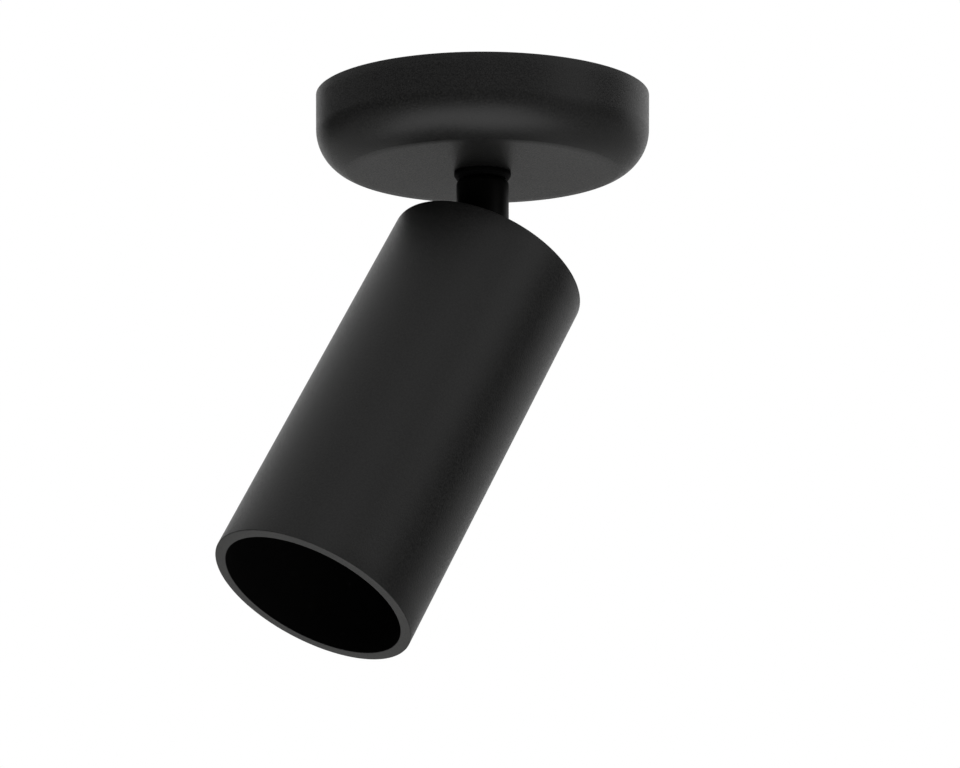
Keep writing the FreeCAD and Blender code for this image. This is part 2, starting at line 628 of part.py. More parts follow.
def make_barrel():
    hole = f"({nipple_radius} + running_gap)"
    shell = turned("barrel_shell", [
        (hole, barrel_top),
        (hole, barrel_ceiling),
        (barrel_cavity, barrel_ceiling),
        (barrel_cavity, barrel_foot),
        ("barrel_radius - edge_break", barrel_foot),
        ("barrel_radius", f"{barrel_foot} + edge_break"),
        ("barrel_radius", f"{barrel_top} - barrel_round", "barrel_round", 1),
        ("barrel_radius - barrel_round", barrel_top),
    ])
    stop_hole = cylinder("barrel_stop_hole", "stop_screw_radius + thread_gap", "barrel_radius", z=groove_z,
                         along="x")
    plug_hole = cylinder("barrel_plug_hole", "knuckle_screw_radius + thread_gap", "barrel_radius", z=plug_z,
                         along="x")
    washer = ring("swivel_washer", bush_radius, f"({nipple_radius} + running_gap)", "swivel_washer_thickness",
                  z=f"{swivel_washer_top} - swivel_washer_thickness")
    return [swivelled(cut("swivel_barrel", shell, stop_hole, plug_hole)), washer]


def make_stop_screw():
    """Its thread is in the barrel's wall, and its thinner tip runs in the bush's groove."""
    start = "barrel_radius - screw_recess"
    rod = grub_screw("stop_rod", "stop_screw_radius", f"{start} - {barrel_cavity}", start, groove_z, "-x")
    tip = cylinder("stop_tip", "stop_tip_radius", f"{barrel_cavity} - {groove_floor} - stop_tip_gap",
                   f"{groove_floor} + stop_tip_gap", z=groove_z, along="x")
    return [swivelled(fuse("stop_screw", rod, tip))]


def make_knuckle():
    height = f"({barrel_foot} - {pivot_z})"
    plug = cylinder("knuckle_plug", f"{barrel_cavity} - thread_gap", "plug_height", z=barrel_foot)
    column = cylinder("tongue_column", tongue_radius, f"{height} + {tongue_radius}",
                      z=f"{pivot_z} - {tongue_radius}")
    strap = block("tongue_strap", f"2 * {tongue_radius}", "tongue_thickness", height, z=pivot_z)
    eye = cylinder("tongue_eye", tongue_radius, "tongue_thickness", y="-tongue_thickness / 2", z=pivot_z,
                   along="y")
    tongue = common("tongue", column, fuse("tongue_blank", strap, eye))
    hinge_hole = cylinder("tongue_hinge_hole", "hinge_radius + thread_gap", "2 * tongue_thickness",
                          y="-tongue_thickness", z=pivot_z, along="y")
    lead_bore = cylinder("knuckle_lead_bore", "lead_radius + lead_gap", f"2 * ({lead_bend_z} - {pivot_z})",
                         z=lead_bend_z)
    put(lead_bore, z=lead_bend_z, turn=f"0; 180 + {lead_slant}; 0")
    screw_hole = cylinder("knuckle_screw_hole", "knuckle_screw_radius + thread_gap", "barrel_radius",
                          "barrel_radius - screw_recess - knuckle_screw_length - thread_gap", z=plug_z,
                          along="x")
    made = cut("knuckle", fuse("knuckle_blank", plug, tongue), hinge_hole, lead_bore, screw_hole)
    screw = grub_screw("knuckle_screw", "knuckle_screw_radius", "knuckle_screw_length",
                       "barrel_radius - screw_recess", plug_z, "-x")
    return [swivelled(made), swivelled(screw)]


def make_stem_lead():
    made = lead("stem_lead", [
        ("0", "0", f"{nipple_top} + lead_rise"),
        ("0", "0", lead_bend_z),
        (f"-{lead_exit_x}", "0", f"{pivot_z} - lead_tail"),
    ], "lead_radius", "lead_bend_radius")
    return [swivelled(made)]


# ---- tilts with the tube, made in the head frame ----

def tilted(made):
    return put(made, z=pivot_z, turn="rest_pan_angle; rest_lean; 0")


def make_tube():
    step = f"({tube_bore} + cap_ledge)"
    return [tilted(turned("head_tube", [
        (f"{tube_bore} + tube_edge", tube_low),
        (f"{tube_radius} - tube_edge", tube_low),
        (tube_radius, f"{tube_low} + tube_edge"),
        (tube_radius, "cap_rise - tube_edge"),
        (f"{tube_radius} - tube_edge", "cap_rise"),
        (step, "cap_rise"),
        (step, cap_low),
        (tube_bore, cap_low),
        (tube_bore, f"{tube_low} + tube_edge"),
    ]))]


def make_cap():
    """The tube's end cap, with the slot that the tongue tilts in and the hole for the tilt screw across it."""
    radius = f"({tube_bore} + cap_ledge - thread_gap)"
    disc = cylinder("cap_disc", radius, "cap_thickness", z=cap_low)
    slot = block("cap_slot", f"{slot_far} + {slot_near}", f"2 * {slot_half}", "2 * cap_thickness",
                 f"({slot_near} - {slot_far}) / 2", z=f"{cap_low} - cap_thickness / 2")
    head_hole = cylinder("cap_head_hole", "hinge_head_radius + running_gap", radius,
                         y="hinge_reach - spring_washer_thickness", along="y")
    hinge_hole = cylinder("cap_hinge_hole", "hinge_radius + thread_gap", "2 * hinge_reach", y="-hinge_reach",
                          along="y")
    bracket_holes = [cylinder(f"cap_bracket_hole_{side}", "small_screw_radius + thread_gap", "small_screw_grip",
                              y=f"{sign} * {bracket_screw_y}", z=cap_low) for side, sign in SIDES]
    return [tilted(cut("head_cap", disc, slot, head_hole, hinge_hole, *bracket_holes))]


def make_hinge():
    seat = "hinge_reach - spring_washer_thickness"
    shank = cylinder("hinge_shank", "hinge_radius", "2 * hinge_reach", y="-hinge_reach", along="y")
    head = cylinder("hinge_head", "hinge_head_radius", "hinge_head_height", y="hinge_reach", along="y")
    socket = hexagon("hinge_socket", "hinge_head_radius", "hinge_head_height / 2",
                     y="hinge_reach + hinge_head_height / 2", along="y")
    screw = cut("hinge_screw", fuse("hinge_blank", shank, head), socket)
    hole = "hinge_radius + thread_gap"
    spring = ring("hinge_spring_washer", "hinge_head_radius", hole, "spring_washer_thickness", y=seat,
                  along="y")
    washers = [ring(f"friction_washer_{side}", "friction_washer_radius", hole, "friction_washer_thickness",
                    y=start, along="y")
               for side, start in (("right", "tongue_thickness / 2 + running_gap"),
                                   ("left", "-tongue_thickness / 2 - running_gap - friction_washer_thickness"))]
    return [tilted(screw), tilted(spring), tilted(group("hinge_friction_washers", *washers))]


def make_bracket():
    reach = bracket_reach
    inside = f"({reach} - bracket_thickness)"
    toe = f"({reach} - bracket_foot)"
    half = [(reach, bracket_low), (reach, cap_low), (toe, cap_low), (toe, foot_low), (inside, foot_low),
            (inside, bracket_top)]
    mirrored = [(f"-{y}", z) for y, z in reversed(half)]
    sheet_metal = bent_sheet("bracket_sheet", half + mirrored, "bracket_width")
    through = "3 * bracket_thickness"
    holes = [cylinder("bracket_lead_hole", "bracket_hole_radius", through,
                      z=f"{bracket_low} - bracket_thickness")]
    screws = []
    for side, sign in SIDES:
        y = f"{sign} * {bracket_screw_y}"
        holes.append(cylinder(f"bracket_foot_hole_{side}", "small_screw_radius + thread_gap", through,
                              y=y, z=f"{foot_low} - bracket_thickness"))
        holes.append(cylinder(f"bracket_holder_hole_{side}", "small_screw_radius + thread_gap", through,
                              y=f"{sign} * holder_screw_spacing / 2", z=f"{bracket_low} - bracket_thickness"))
        screws.append(cap_screw(f"bracket_screw_{side}", "small_screw_radius",
                                "small_screw_grip - thread_gap + bracket_thickness", "small_head_radius",
                                "small_head_height", "0", y, foot_low))
    return [tilted(cut("holder_bracket", sheet_metal, *holes)), tilted(group("holder_bracket_screws", *screws))]


def make_lampholder():
    """A two-pin bayonet holder. Each keyhole is an arc from the locked place, where the pin is at rest, to the
    free place, where the hole is wide enough for the pin's head. A chamber behind it takes the head."""
    outer = f"{pin_ring} + pin_head_radius + 2 * pin_play"
    inner = f"{pin_ring} - pin_head_radius - 2 * pin_play"
    blank = block("holder_blank", "holder_width", "holder_length", "holder_height", z=holder_low)
    holes = [cylinder("holder_lead_hole", "lead_radius + lead_gap", "lead_entry + thread_gap",
                      head_lead_x, z=f"{bracket_low} - lead_entry - thread_gap")]
    contacts, screws = [], []
    head_top = f"({chamber_low} + pin_play + pin_head_height + running_gap)"
    overrun = "(chamber_margin_angle + asin((pin_head_radius + pin_play) / pin_spacing) / 1deg)"
    for side, bearing in (("right", 0), ("left", 180)):
        free = f"({bearing} - lamp_twist_angle)"
        holes.append(sector(f"chamber_{side}", outer, inner, "holder_chamber", chamber_low,
                            f"lamp_twist_angle + 2 * {overrun}", f"{free} - {overrun}"))
        holes.append(sector(f"keyway_{side}", f"{pin_ring} + pin_radius + pin_play / 2",
                            f"{pin_ring} - pin_radius - pin_play / 2", "2 * holder_face + pin_play",
                            f"{holder_low} - holder_face", "lamp_twist_angle", free))
        holes.append(cylinder(f"locked_hole_{side}", "pin_radius + pin_play", "2 * holder_face + pin_play",
                              f"{pin_ring} * cos({bearing})", f"{pin_ring} * sin({bearing})",
                              f"{holder_low} - holder_face"))
        holes.append(cylinder(f"free_hole_{side}", "pin_head_radius + pin_play", "2 * holder_face + pin_play",
                              f"{pin_ring} * cos({free})", f"{pin_ring} * sin({free})",
                              f"{holder_low} - holder_face"))
        contacts.append(block(f"contact_{side}", "contact_width", "contact_width",
                              f"{chamber_low} + holder_chamber - {head_top}", f"{pin_ring} * cos({bearing})",
                              z=head_top))
    for side, sign in SIDES:
        y = f"{sign} * holder_screw_spacing / 2"
        holes.append(cylinder(f"holder_screw_hole_{side}", "small_screw_radius + thread_gap",
                              "small_screw_grip", y=y, z=f"{bracket_low} - small_screw_grip"))
        screws.append(cap_screw(f"holder_screw_{side}", "small_screw_radius",
                                "bracket_thickness + small_screw_grip - thread_gap", "small_head_radius",
                                "small_head_height", "0", y, bracket_top, up=False))
    return [tilted(cut("lampholder", blank, *holes)), tilted(group("lampholder_contacts", *contacts)),
            tilted(group("lampholder_screws", *screws))]


# the head's lead goes on from the stem's for a short run, and then straight down into the holder
head_lead_run = "lead_tail"
head_lead_x = f"({exit_x} + {head_lead_run} * sin(rest_lean - {lead_slant}))"


def make_head_lead():
    way = f"(rest_lean - {lead_slant})"
    made = lead("head_lead", [
        (f"{exit_x} + running_gap * sin{way}", "0", f"{exit_z} - running_gap * cos{way}"),
        (head_lead_x, "0", f"{exit_z} - {head_lead_run} * cos{way}"),
        (head_lead_x, "0", f"{bracket_low} - lead_entry"),
    ], "lead_radius")
    return [tilted(made)]


# ---- the lamp, made in the head frame ----

def make_lamp():
    inner = "(lamp_radius - lamp_wall)"
    housing = turned("lamp_housing", [
        ("0", board_top),
        ("board_radius + thread_gap", board_top),
        (inner, cone_low),
        (inner, lamp_low),
        ("lamp_radius", lamp_low),
        ("lamp_radius", cone_low),
        ("lamp_neck_radius", neck_low),
        ("0", neck_low),
    ])
    neck = cylinder("lamp_neck", "lamp_neck_radius", "lamp_neck_length", z=neck_low)
    root_holes, pins = [], []
    for side, sign in SIDES:
        x = f"{sign} * {pin_ring}"
        head_z = f"({chamber_low} + pin_play)"
        root_holes.append(cylinder(f"pin_root_{side}", "pin_radius + thread_gap", "pin_root", x,
                                   z=f"{lamp_top} - pin_root"))
        shank = cylinder(f"pin_shank_{side}", "pin_radius", f"{head_z} - {lamp_top} + pin_root", x,
                         z=f"{lamp_top} - pin_root")
        head = cylinder(f"pin_head_{side}", "pin_head_radius", "pin_head_height", x, z=head_z)
        pins.append(fuse(f"lamp_pin_{side}", shank, head))
    board_low = f"({board_top} - board_thickness)"
    board = cut("led_board", cylinder("board_disc", "board_radius", "board_thickness", z=board_low),
                *[cylinder(f"board_wire_hole_{side}", "board_hole_radius", "board_thickness",
                           y=f"{sign} * board_hole_reach", z=board_low) for side, sign in SIDES])
    chip_low = f"({board_low} - chip_height)"
    chips = [block("chip_middle", "chip_size", "chip_size", "chip_height", z=chip_low)]
    chips += [block(f"chip_{bearing}", "chip_size", "chip_size", "chip_height", f"chip_ring * cos({bearing})",
                    f"chip_ring * sin({bearing})", chip_low) for bearing in range(0, 360, 60)]
    lens_low = f"({lamp_low} + lens_recess)"
    lens = turned("lamp_lens", [
        ("0", lens_low),
        (f"{inner} - thread_gap - edge_break", lens_low),
        (f"{inner} - thread_gap", f"{lens_low} + edge_break"),
        (f"{inner} - thread_gap", f"{lens_low} + lens_thickness"),
        ("0", f"{lens_low} + lens_thickness"),
    ])
    return [tilted(made) for made in (housing, cut("lamp_base", neck, *root_holes), group("lamp_pins", *pins),
                                      board, group("led_chips", *chips), lens)]


MAKERS = (make_ceiling_plate, make_canopy, make_side_screws, make_nipple_stack, make_swivel_bush,
          make_terminal_block, make_earth_screw_and_lug, make_cores, make_barrel, make_stop_screw, make_knuckle,
          make_stem_lead, make_tube, make_cap, make_hinge, make_bracket, make_lampholder, make_head_lead,
          make_lamp)

subparts = [made for maker in MAKERS for made in maker()]
doc.recompute()
for made in doc.Objects:
    if {"Invalid", "Error"} & set(made.State):
        raise RuntimeError(f"{made.Label} failed: {made.State}")
for made in subparts:
    if made.Shape.isNull() or not made.Shape.isValid() or not made.Shape.Solids:
        raise RuntimeError(f"{made.Label} has no valid solid")
os.makedirs("parts", exist_ok=True)
for made in subparts:
    made.Shape.exportStep(f"parts/{made.Label}.step")
print(f"{len(subparts)} sub-parts, {sum(len(made.Shape.Solids) for made in subparts)} solids")
tube_length = amount(f"cap_rise - {tube_low}")
print(f"pivot {amount(pivot_z):.4f}, tube {amount(tube_radius):.3f} x {tube_length:.3f}")
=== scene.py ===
"""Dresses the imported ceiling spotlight: its finishes, its fine edges and fixings, and the studio it hangs in.

Metres throughout, with sizes written in millimetres times MM. Three spaces are used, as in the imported
model: CEILING is the frame's own, STEM is turned about the vertical so that the tilt screw runs along its Y,
and HEAD has its origin on the tilt screw and its Z up the tube's axis.
"""
import json
import math

import bmesh
import bpy
import numpy as np
from bpy.props import FloatProperty, FloatVectorProperty, IntProperty, PointerProperty
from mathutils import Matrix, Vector


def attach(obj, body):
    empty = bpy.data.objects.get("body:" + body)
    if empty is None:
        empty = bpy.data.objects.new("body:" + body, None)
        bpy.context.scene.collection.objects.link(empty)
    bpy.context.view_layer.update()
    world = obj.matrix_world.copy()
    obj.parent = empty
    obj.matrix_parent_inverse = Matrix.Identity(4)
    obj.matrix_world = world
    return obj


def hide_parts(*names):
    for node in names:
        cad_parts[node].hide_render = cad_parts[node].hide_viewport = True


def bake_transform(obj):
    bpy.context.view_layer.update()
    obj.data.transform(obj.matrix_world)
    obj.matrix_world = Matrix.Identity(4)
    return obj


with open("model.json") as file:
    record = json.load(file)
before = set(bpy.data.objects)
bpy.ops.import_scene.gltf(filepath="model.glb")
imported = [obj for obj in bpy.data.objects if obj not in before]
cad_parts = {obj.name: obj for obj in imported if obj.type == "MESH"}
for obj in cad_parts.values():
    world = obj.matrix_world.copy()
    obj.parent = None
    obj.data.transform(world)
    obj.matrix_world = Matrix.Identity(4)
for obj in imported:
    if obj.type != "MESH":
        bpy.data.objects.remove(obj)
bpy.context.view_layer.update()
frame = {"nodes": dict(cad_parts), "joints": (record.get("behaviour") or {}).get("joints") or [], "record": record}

bl_info = {
    "name": "Ceiling spotlight",
    "version": (1, 0, 0),
    "blender": (4, 5, 0),
    "location": "3D View > Sidebar > Spotlight",
    "description": "Builds the visible pieces and finishes of a surface mounted ceiling spotlight",
    "category": "Add Mesh",
}

MM = 0.001
TURN = 2 * math.pi

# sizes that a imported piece's extent doesn't show, and the rounds of turned pieces
BARREL_WALL = 1.35 * MM
BARREL_TOP_WALL = 2.4 * MM
BARREL_ROUND = 1.7 * MM
BARREL_EDGE = 0.1 * MM
COLLAR_TAPER = (0.7 * MM, 1.0 * MM)
COLLAR_ROUND = 0.3 * MM
CAP_PLAY = 0.05 * MM
TUBE_ROUND = 0.3 * MM
LAMP_CONE_LENGTH = 30 * MM
LAMP_WALL = 1.4 * MM
LAMP_ROUND = 0.4 * MM
NUT_SIDES = 6
NUT_CHAMFER = 0.5 * MM
FINE_ROUND = 0.15 * MM
FIN_FULLNESS = 0.6

# the longest side that is left in each outline, and about the longest in a lead's bend
CANOPY_SPACING = 4 * MM
NUT_SPACING = 0.5 * MM
BARREL_SPACING = 3 * MM
TUBE_SPACING = 6 * MM
LAMP_SPACING = 1.5 * MM
ROUTE_SPACING = 0.4 * MM

# a drill's play round its screw, and where it starts and ends, as shares of the radius that it goes through
DRILL_PLAY = 0.05 * MM
CANOPY_DRILL = (0.8, 1.1)
BARREL_DRILL = (0.5, 1.2)

# how near a face is to the tube's bore or foot, or to the lens's front, to count as part of it
BORE_SKIN = 0.05 * MM
RIM_SKIN = 0.1 * MM
LENS_SKIN = 0.01 * MM

# how near points are merged, how short an edge is dropped, and the angles that count as sharp or as flat
WELD = 1e-7
CAD_WELD = 1e-6
SPECK = 1e-8
SHARP = math.radians(38)
CAD_SHARP = math.radians(50)
CAD_FLAT = math.radians(0.3)
BEVELLED = math.radians(34)
STRAIGHT = math.radians(80)

# the most that a corner's arc takes of the shorter side beside it
ARC_SHARE = 0.45

# a lead's end rings: their distance from the end and their narrowing, as shares of its small round
END_INSET = np.array([0, 0, 0.3, 1])
END_NARROWING = np.array([1, 0.3, 0])

# where the lights aim, the floor's half width, how far out it turns white, and its glow before and after that
AIM = (0, 0, -80 * MM)
FLOOR_REACH = 30.0
FLOOR_FADE = (1.6, 6.0)
FLOOR_GLOW = (0.35, 1.0)

# the radius in millimetres that the edges of each dressed CAD piece are rounded to
EDGES = {
    "canopy_side_screws": 0.12, "stop_screw": 0.12, "knuckle_screw": 0.12, "tooth_washer": 0.08,
    "swivel_bush": 0.08, "ceiling_plate": 0.12, "earth_screw": 0.1, "earth_lug": 0.1, "terminal_block": 0.25,
    "terminal_clamps": 0.06, "terminal_screws": 0.06, "terminal_fixing_screws": 0.06, "knuckle": 0.2,
    "head_cap": 0.2, "hinge_screw": 0.06, "hinge_spring_washer": 0.06, "hinge_friction_washers": 0.06,
    "lampholder": 0.3, "holder_bracket": 0.1, "holder_bracket_screws": 0.1, "lampholder_screws": 0.1,
    "lampholder_contacts": 0.1, "lamp_base": 0.4, "lamp_pins": 0.3, "led_board": 0.1, "led_chips": 0.1,
}


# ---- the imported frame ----

JOINTS = {joint["name"]: joint for joint in frame["joints"]}
BODY_OF = {node: body for body, nodes in frame["record"]["behaviour"]["bodies"].items() for node in nodes}
SLOT_OF = {part["node"]: part["material_slot"] for part in frame["record"]["subparts"]}


def space(origin, across, up):
    """A 4 x 4 matrix with its Y along across and its Z along up. The two have to be square to each other."""
    y = np.array(across, float) / np.linalg.norm(across)
    z = np.array(up, float) / np.linalg.norm(up)
    made = np.eye(4)
    made[:3, :3] = np.stack([np.cross(y, z), y, z], axis=1)
    made[:3, 3] = origin
    return made


CEILING = np.eye(4)
STEM = space((0, 0, 0), JOINTS["tilt"]["axis"], (0, 0, 1))
HEAD = space(JOINTS["tilt"]["pos_m"], JOINTS["tilt"]["axis"], JOINTS["lamp_twist"]["axis"])


class Extent:
    """A CAD node in one of the spaces: its foot and top along Z, and its outer and inner radius about Z."""

    def __init__(self, node, where=CEILING):
        mesh = frame["nodes"][node].data
        points = np.empty(3 * len(mesh.vertices))
        mesh.vertices.foreach_get("co", points)
        points = (points.reshape(-1, 3) - where[:3, 3]) @ where[:3, :3]
        radii = np.hypot(points[:, 0], points[:, 1])
        self.foot, self.top = points[:, 2].min(), points[:, 2].max()
        self.radius, self.bore = radii.max(), radii.min()

    def profile(self):
        """The corners of a plain ring of its size, from the foot of its bore round to the top of its bore."""
        return [(self.bore, self.foot), (self.radius, self.foot),
                (self.radius, self.top), (self.bore, self.top)]


# ---- outlines ----

def arc(centre, radius, start, stop, steps):
    """Points on a circle from one angle to another, in degrees: the centre plus radius times (cos, sin)."""
    angles = np.radians(np.linspace(start, stop, steps))
    return [(centre[0] + radius * math.cos(a), centre[1] + radius * math.sin(a)) for a in angles]


def softened(outline, size, steps=5, closed=True):
    """An outline with its sharp corners rounded to a radius of size, or less where a side is short. size is
    one number or one for each corner. Each arc touches both sides at size / tan(half the corner's angle) from
    the corner, and its centre is on the bisector."""
    sizes = np.broadcast_to(size, len(outline))
    made = []
    for i, corner in enumerate(outline):
        here = np.array(corner, float)
        back = np.array(outline[i - 1], float) - here
        on = np.array(outline[(i + 1) % len(outline)], float) - here
        shorter = min(np.linalg.norm(back), np.linalg.norm(on))
        back, on = back / np.linalg.norm(back), on / np.linalg.norm(on)
        half = math.acos(np.clip(back @ on, -1, 1)) / 2
        at_end = not closed and i in (0, len(outline) - 1)
        if at_end or half > STRAIGHT:
            made.append(tuple(here))
            continue
        touch = min(sizes[i] / math.tan(half), ARC_SHARE * shorter)
        first, last = here + back * touch, here + on * touch
        centre = here + (back + on) / np.linalg.norm(back + on) * (touch / math.cos(half))
        span = math.pi - 2 * half
        for share in np.linspace(0, 1, steps):
            bow = math.sin((1 - share) * span) * (first - centre) + math.sin(share * span) * (last - centre)
            made.append(tuple(centre + bow / math.sin(span)))
    return made


def filled(outline, spacing, closed=True):
    """An outline with points added on its long sides, so that none is further than spacing from the next."""
    made = []
    pairs = list(zip(outline, outline[1:] + outline[:1]))
    for here, there in pairs if closed else pairs[:-1]:
        count = max(1, math.ceil(math.dist(here, there) / spacing))
        shares = np.arange(count) / count
        made += [tuple(np.array(here) * (1 - share) + np.array(there) * share) for share in shares]
    return made if closed else made + [tuple(outline[-1])]


def polygon(angle, sides):
    """How far a regular polygon's side is from its middle, its corners being at 1: cos(pi / n) over the
    cosine of the angle from that side's middle."""
    step = TURN / sides
    return math.cos(step / 2) / np.cos(np.mod(angle, step) - step / 2)


# ---- meshes ----

def grid_mesh(name, points, along, closed):
    """A mesh from rows x columns of points. Columns join up into rings. Rows join up too if closed, or else
    the first and last row are single points. A point's UV is (share of the turn, distance along)."""
    rows, columns = points.shape[:2]
    i = np.arange(rows if closed else rows - 1)[:, None]
    j = np.arange(columns)[None, :]
    below, beside = (i + 1) % rows, (j + 1) % columns
    quads = np.stack([i * columns + j, i * columns + beside,
                      below * columns + beside, below * columns + j], -1)
    u = np.stack([j / columns, (j + 1) / columns] * 2, -1)[..., [0, 1, 3, 2]] + 0 * i[..., None]
    v = np.stack([along[i], along[i], along[i + 1], along[i + 1]], -1) + 0 * j[..., None]
    mesh = bpy.data.meshes.new(name)
    mesh.from_pydata(points.reshape(-1, 3).tolist(), [], quads.reshape(-1, 4).tolist())
    uv = np.stack([u, v], -1).reshape(-1)
    mesh.uv_layers.new(name="UVMap").data.foreach_set("uv", uv.astype(np.float32))
    return finished(name, mesh)


def finished(name, mesh, sharp=SHARP):
    """An object for a mesh, with its doubled points merged, its faces outwards and its shading smooth."""
    work = bmesh.new()
    work.from_mesh(mesh)
    bmesh.ops.remove_doubles(work, verts=work.verts, dist=WELD)
    bmesh.ops.dissolve_degenerate(work, edges=work.edges, dist=SPECK)
    if work.calc_volume(signed=True) < 0:
        bmesh.ops.reverse_faces(work, faces=work.faces)
    work.to_mesh(mesh)
    work.free()
    mesh.shade_smooth()
    mesh.set_sharp_from_angle(angle=sharp)
    made = bpy.data.objects.new(name, mesh)
    bpy.context.scene.collection.objects.link(made)
    return made


def lathe(name, outline, where=CEILING, segments=96, closed=True, shape=None):
    """A surface turned about a space's Z. Point (i, j) is at the outline's radius and height i and at the
    angle j / segments of a turn. shape(radius, height, angle) may return another radius and height. An
    outline that isn't closed starts and ends on the axis."""
    rows = np.array(outline, float)
    steps = np.linalg.norm(np.diff(rows, axis=0, append=rows[:1]), axis=1)
    along = np.concatenate([[0], np.cumsum(steps)])
    angle = np.broadcast_to(np.arange(segments) * TURN / segments, (len(rows), segments))
    radius = np.repeat(rows[:, :1], segments, axis=1)
    height = np.repeat(rows[:, 1:], segments, axis=1)
    if shape:
        radius, height = shape(radius, height, angle)
    points = np.stack([radius * np.cos(angle), radius * np.sin(angle), height], -1)
    return grid_mesh(name, points @ where[:3, :3].T + where[:3, 3], along, closed)


def rounded_route(corners, bend=None, spacing=ROUTE_SPACING):
    """Straight runs joined by tangent arcs, as large as the runs or bend allow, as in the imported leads."""
    points = np.array(corners, float)
    made = [points[:1]]
    for before, corner, after in zip(points, points[1:], points[2:]):
        back, on = before - corner, after - corner
        shorter = min(np.linalg.norm(back), np.linalg.norm(on))
        back, on = back / np.linalg.norm(back), on / np.linalg.norm(on)
        half_turn = (math.pi - math.acos(np.clip(back @ on, -1, 1))) / 2
        touch = ARC_SHARE * shorter if bend is None else min(ARC_SHARE * shorter, bend * math.tan(half_turn))
        radius = touch / math.tan(half_turn)
        centre = corner + (back + on) / np.linalg.norm(back + on) * (radius / math.cos(half_turn))
        first, last = corner + back * touch - centre, corner + on * touch - centre
        share = np.linspace(0, 1, max(4, math.ceil(2 * half_turn * radius / spacing)))[:, None]
        bow = np.sin((1 - share) * 2 * half_turn) * first + np.sin(share * 2 * half_turn) * last
        made.append(centre + bow / math.sin(2 * half_turn))
    made.append(points[-1:])
    return np.vstack(made)


def sweep(name, route, radius, where=CEILING, segments=28, soft=0.12 * MM):
    """A round lead along a route. Each ring is square to the run there and its start turns as little as it
    can, so stripes run straight along it. Both ends are closed, with a small round: its rings are inset and
    narrowed by shares of soft."""
    runs = np.diff(route, axis=0)
    tangents = np.vstack([runs[:1], runs[:-1] / np.linalg.norm(runs[:-1], axis=1)[:, None]
                          + runs[1:] / np.linalg.norm(runs[1:], axis=1)[:, None], runs[-1:]])
    tangents /= np.linalg.norm(tangents, axis=1)[:, None]
    aside = np.array(Vector(tangents[0]).orthogonal())
    sides = []
    for tangent in tangents:
        aside = aside - tangent * (aside @ tangent)
        aside = aside / np.linalg.norm(aside)
        sides.append(aside)
    sides = np.array(sides)
    middle = np.arange(1, len(route) - 1)
    flush = np.zeros(len(middle))
    order = np.concatenate([np.zeros(len(END_INSET), int), middle, np.full(len(END_INSET), -1)])
    inward = np.concatenate([soft * END_INSET, flush, -soft * END_INSET[::-1]])
    closing = np.array([radius, *(soft * END_NARROWING)])
    reach = radius - np.concatenate([closing, flush, closing[::-1]])
    centres = route[order] + tangents[order] * inward[:, None]
    angle = np.arange(segments) * TURN / segments
    up = np.cross(tangents, sides)[order]
    around = sides[order][:, None] * np.cos(angle)[None, :, None] + up[:, None] * np.sin(angle)[None, :, None]
    points = centres[:, None] + around * reach[:, None, None]
    along = np.concatenate([[0], np.cumsum(np.linalg.norm(np.diff(centres, axis=0), axis=1)), [0]])
    return grid_mesh(name, points @ where[:3, :3].T + where[:3, 3], along, False)


def drilled(made, *drills):
    """The piece with the drills cut out of it. The drills aren't kept."""
    for drill in drills:
        cutter = made.modifiers.new(drill.name, "BOOLEAN")
        cutter.operation = "DIFFERENCE"
        cutter.solver = "EXACT"
        cutter.object = drill
    bpy.context.view_layer.update()
    mesh = bpy.data.meshes.new_from_object(made.evaluated_get(bpy.context.evaluated_depsgraph_get()))
    made.modifiers.clear()
    made.data = mesh
    mesh.shade_smooth()
    mesh.set_sharp_from_angle(angle=SHARP)
    for drill in drills:
        bpy.data.meshes.remove(drill.data)
    return made


def rod(name, radius, low, high, where, segments=48):
    """A plain round drill along a space's Z."""
    return lathe(name, [(0, low), (radius, low), (radius, high), (0, high)], where, segments, closed=False)


def screw_drill(node, low, high, where=CEILING):
    """A drill along a space's X for a screw that lies along it, from low to high."""
    screw = Extent(node, where)
    radius = (screw.top - screw.foot) / 2 + DRILL_PLAY
    along_x = space((0, 0, (screw.top + screw.foot) / 2), (0, 1, 0), (1, 0, 0))
    return rod(f"{node}_drill", radius, low, high, where @ along_x)


def bevelled(node):
    """A merged copy of a CAD node's mesh with its edges rounded over, as far as EDGES says."""
    mesh = frame["nodes"][node].data.copy()
    mesh.materials.clear()
    work = bmesh.new()
    work.from_mesh(mesh)
    bmesh.ops.remove_doubles(work, verts=work.verts, dist=CAD_WELD)
    bmesh.ops.dissolve_limit(work, angle_limit=CAD_FLAT, verts=work.verts, edges=work.edges)
    work.to_mesh(mesh)
    work.free()
    made = finished(f"{node}_shape", mesh, sharp=CAD_SHARP)
    bevel = made.modifiers.new("edges", "BEVEL")
    bevel.width = EDGES[node] * MM
    bevel.segments = 3
    bevel.limit_method = "ANGLE"
    bevel.angle_limit = BEVELLED
    bevel.harden_normals = True
    return made


def placed(made, node, look=None):
    """Puts a piece in a CAD node's place, body and slot, with the named finish or else the slot's own."""
    slot = SLOT_OF[node]
    made.data.materials.clear()
    made.data.materials.append(FINISHES[look or slot]())
    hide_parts(node)
    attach(made, BODY_OF[node])


def dressed(*nodes, look=None):
    """Puts each CAD node's rounded copy in its place."""
    for node in nodes:
        placed(bevelled(node), node, look)


# ---- shader groups ----

def shader(tree, kind, links=None, **settings):
    """A shader node with its settings, and with its inputs linked to sockets or set to values."""
    made = tree.nodes.new(kind)
    for name, value in settings.items():
        setattr(made, name, value)
    for name, value in (links or {}).items():
        if isinstance(value, bpy.types.NodeSocket):
            tree.links.new(value, made.inputs[name])
        else:
            made.inputs[name].default_value = value
    return made


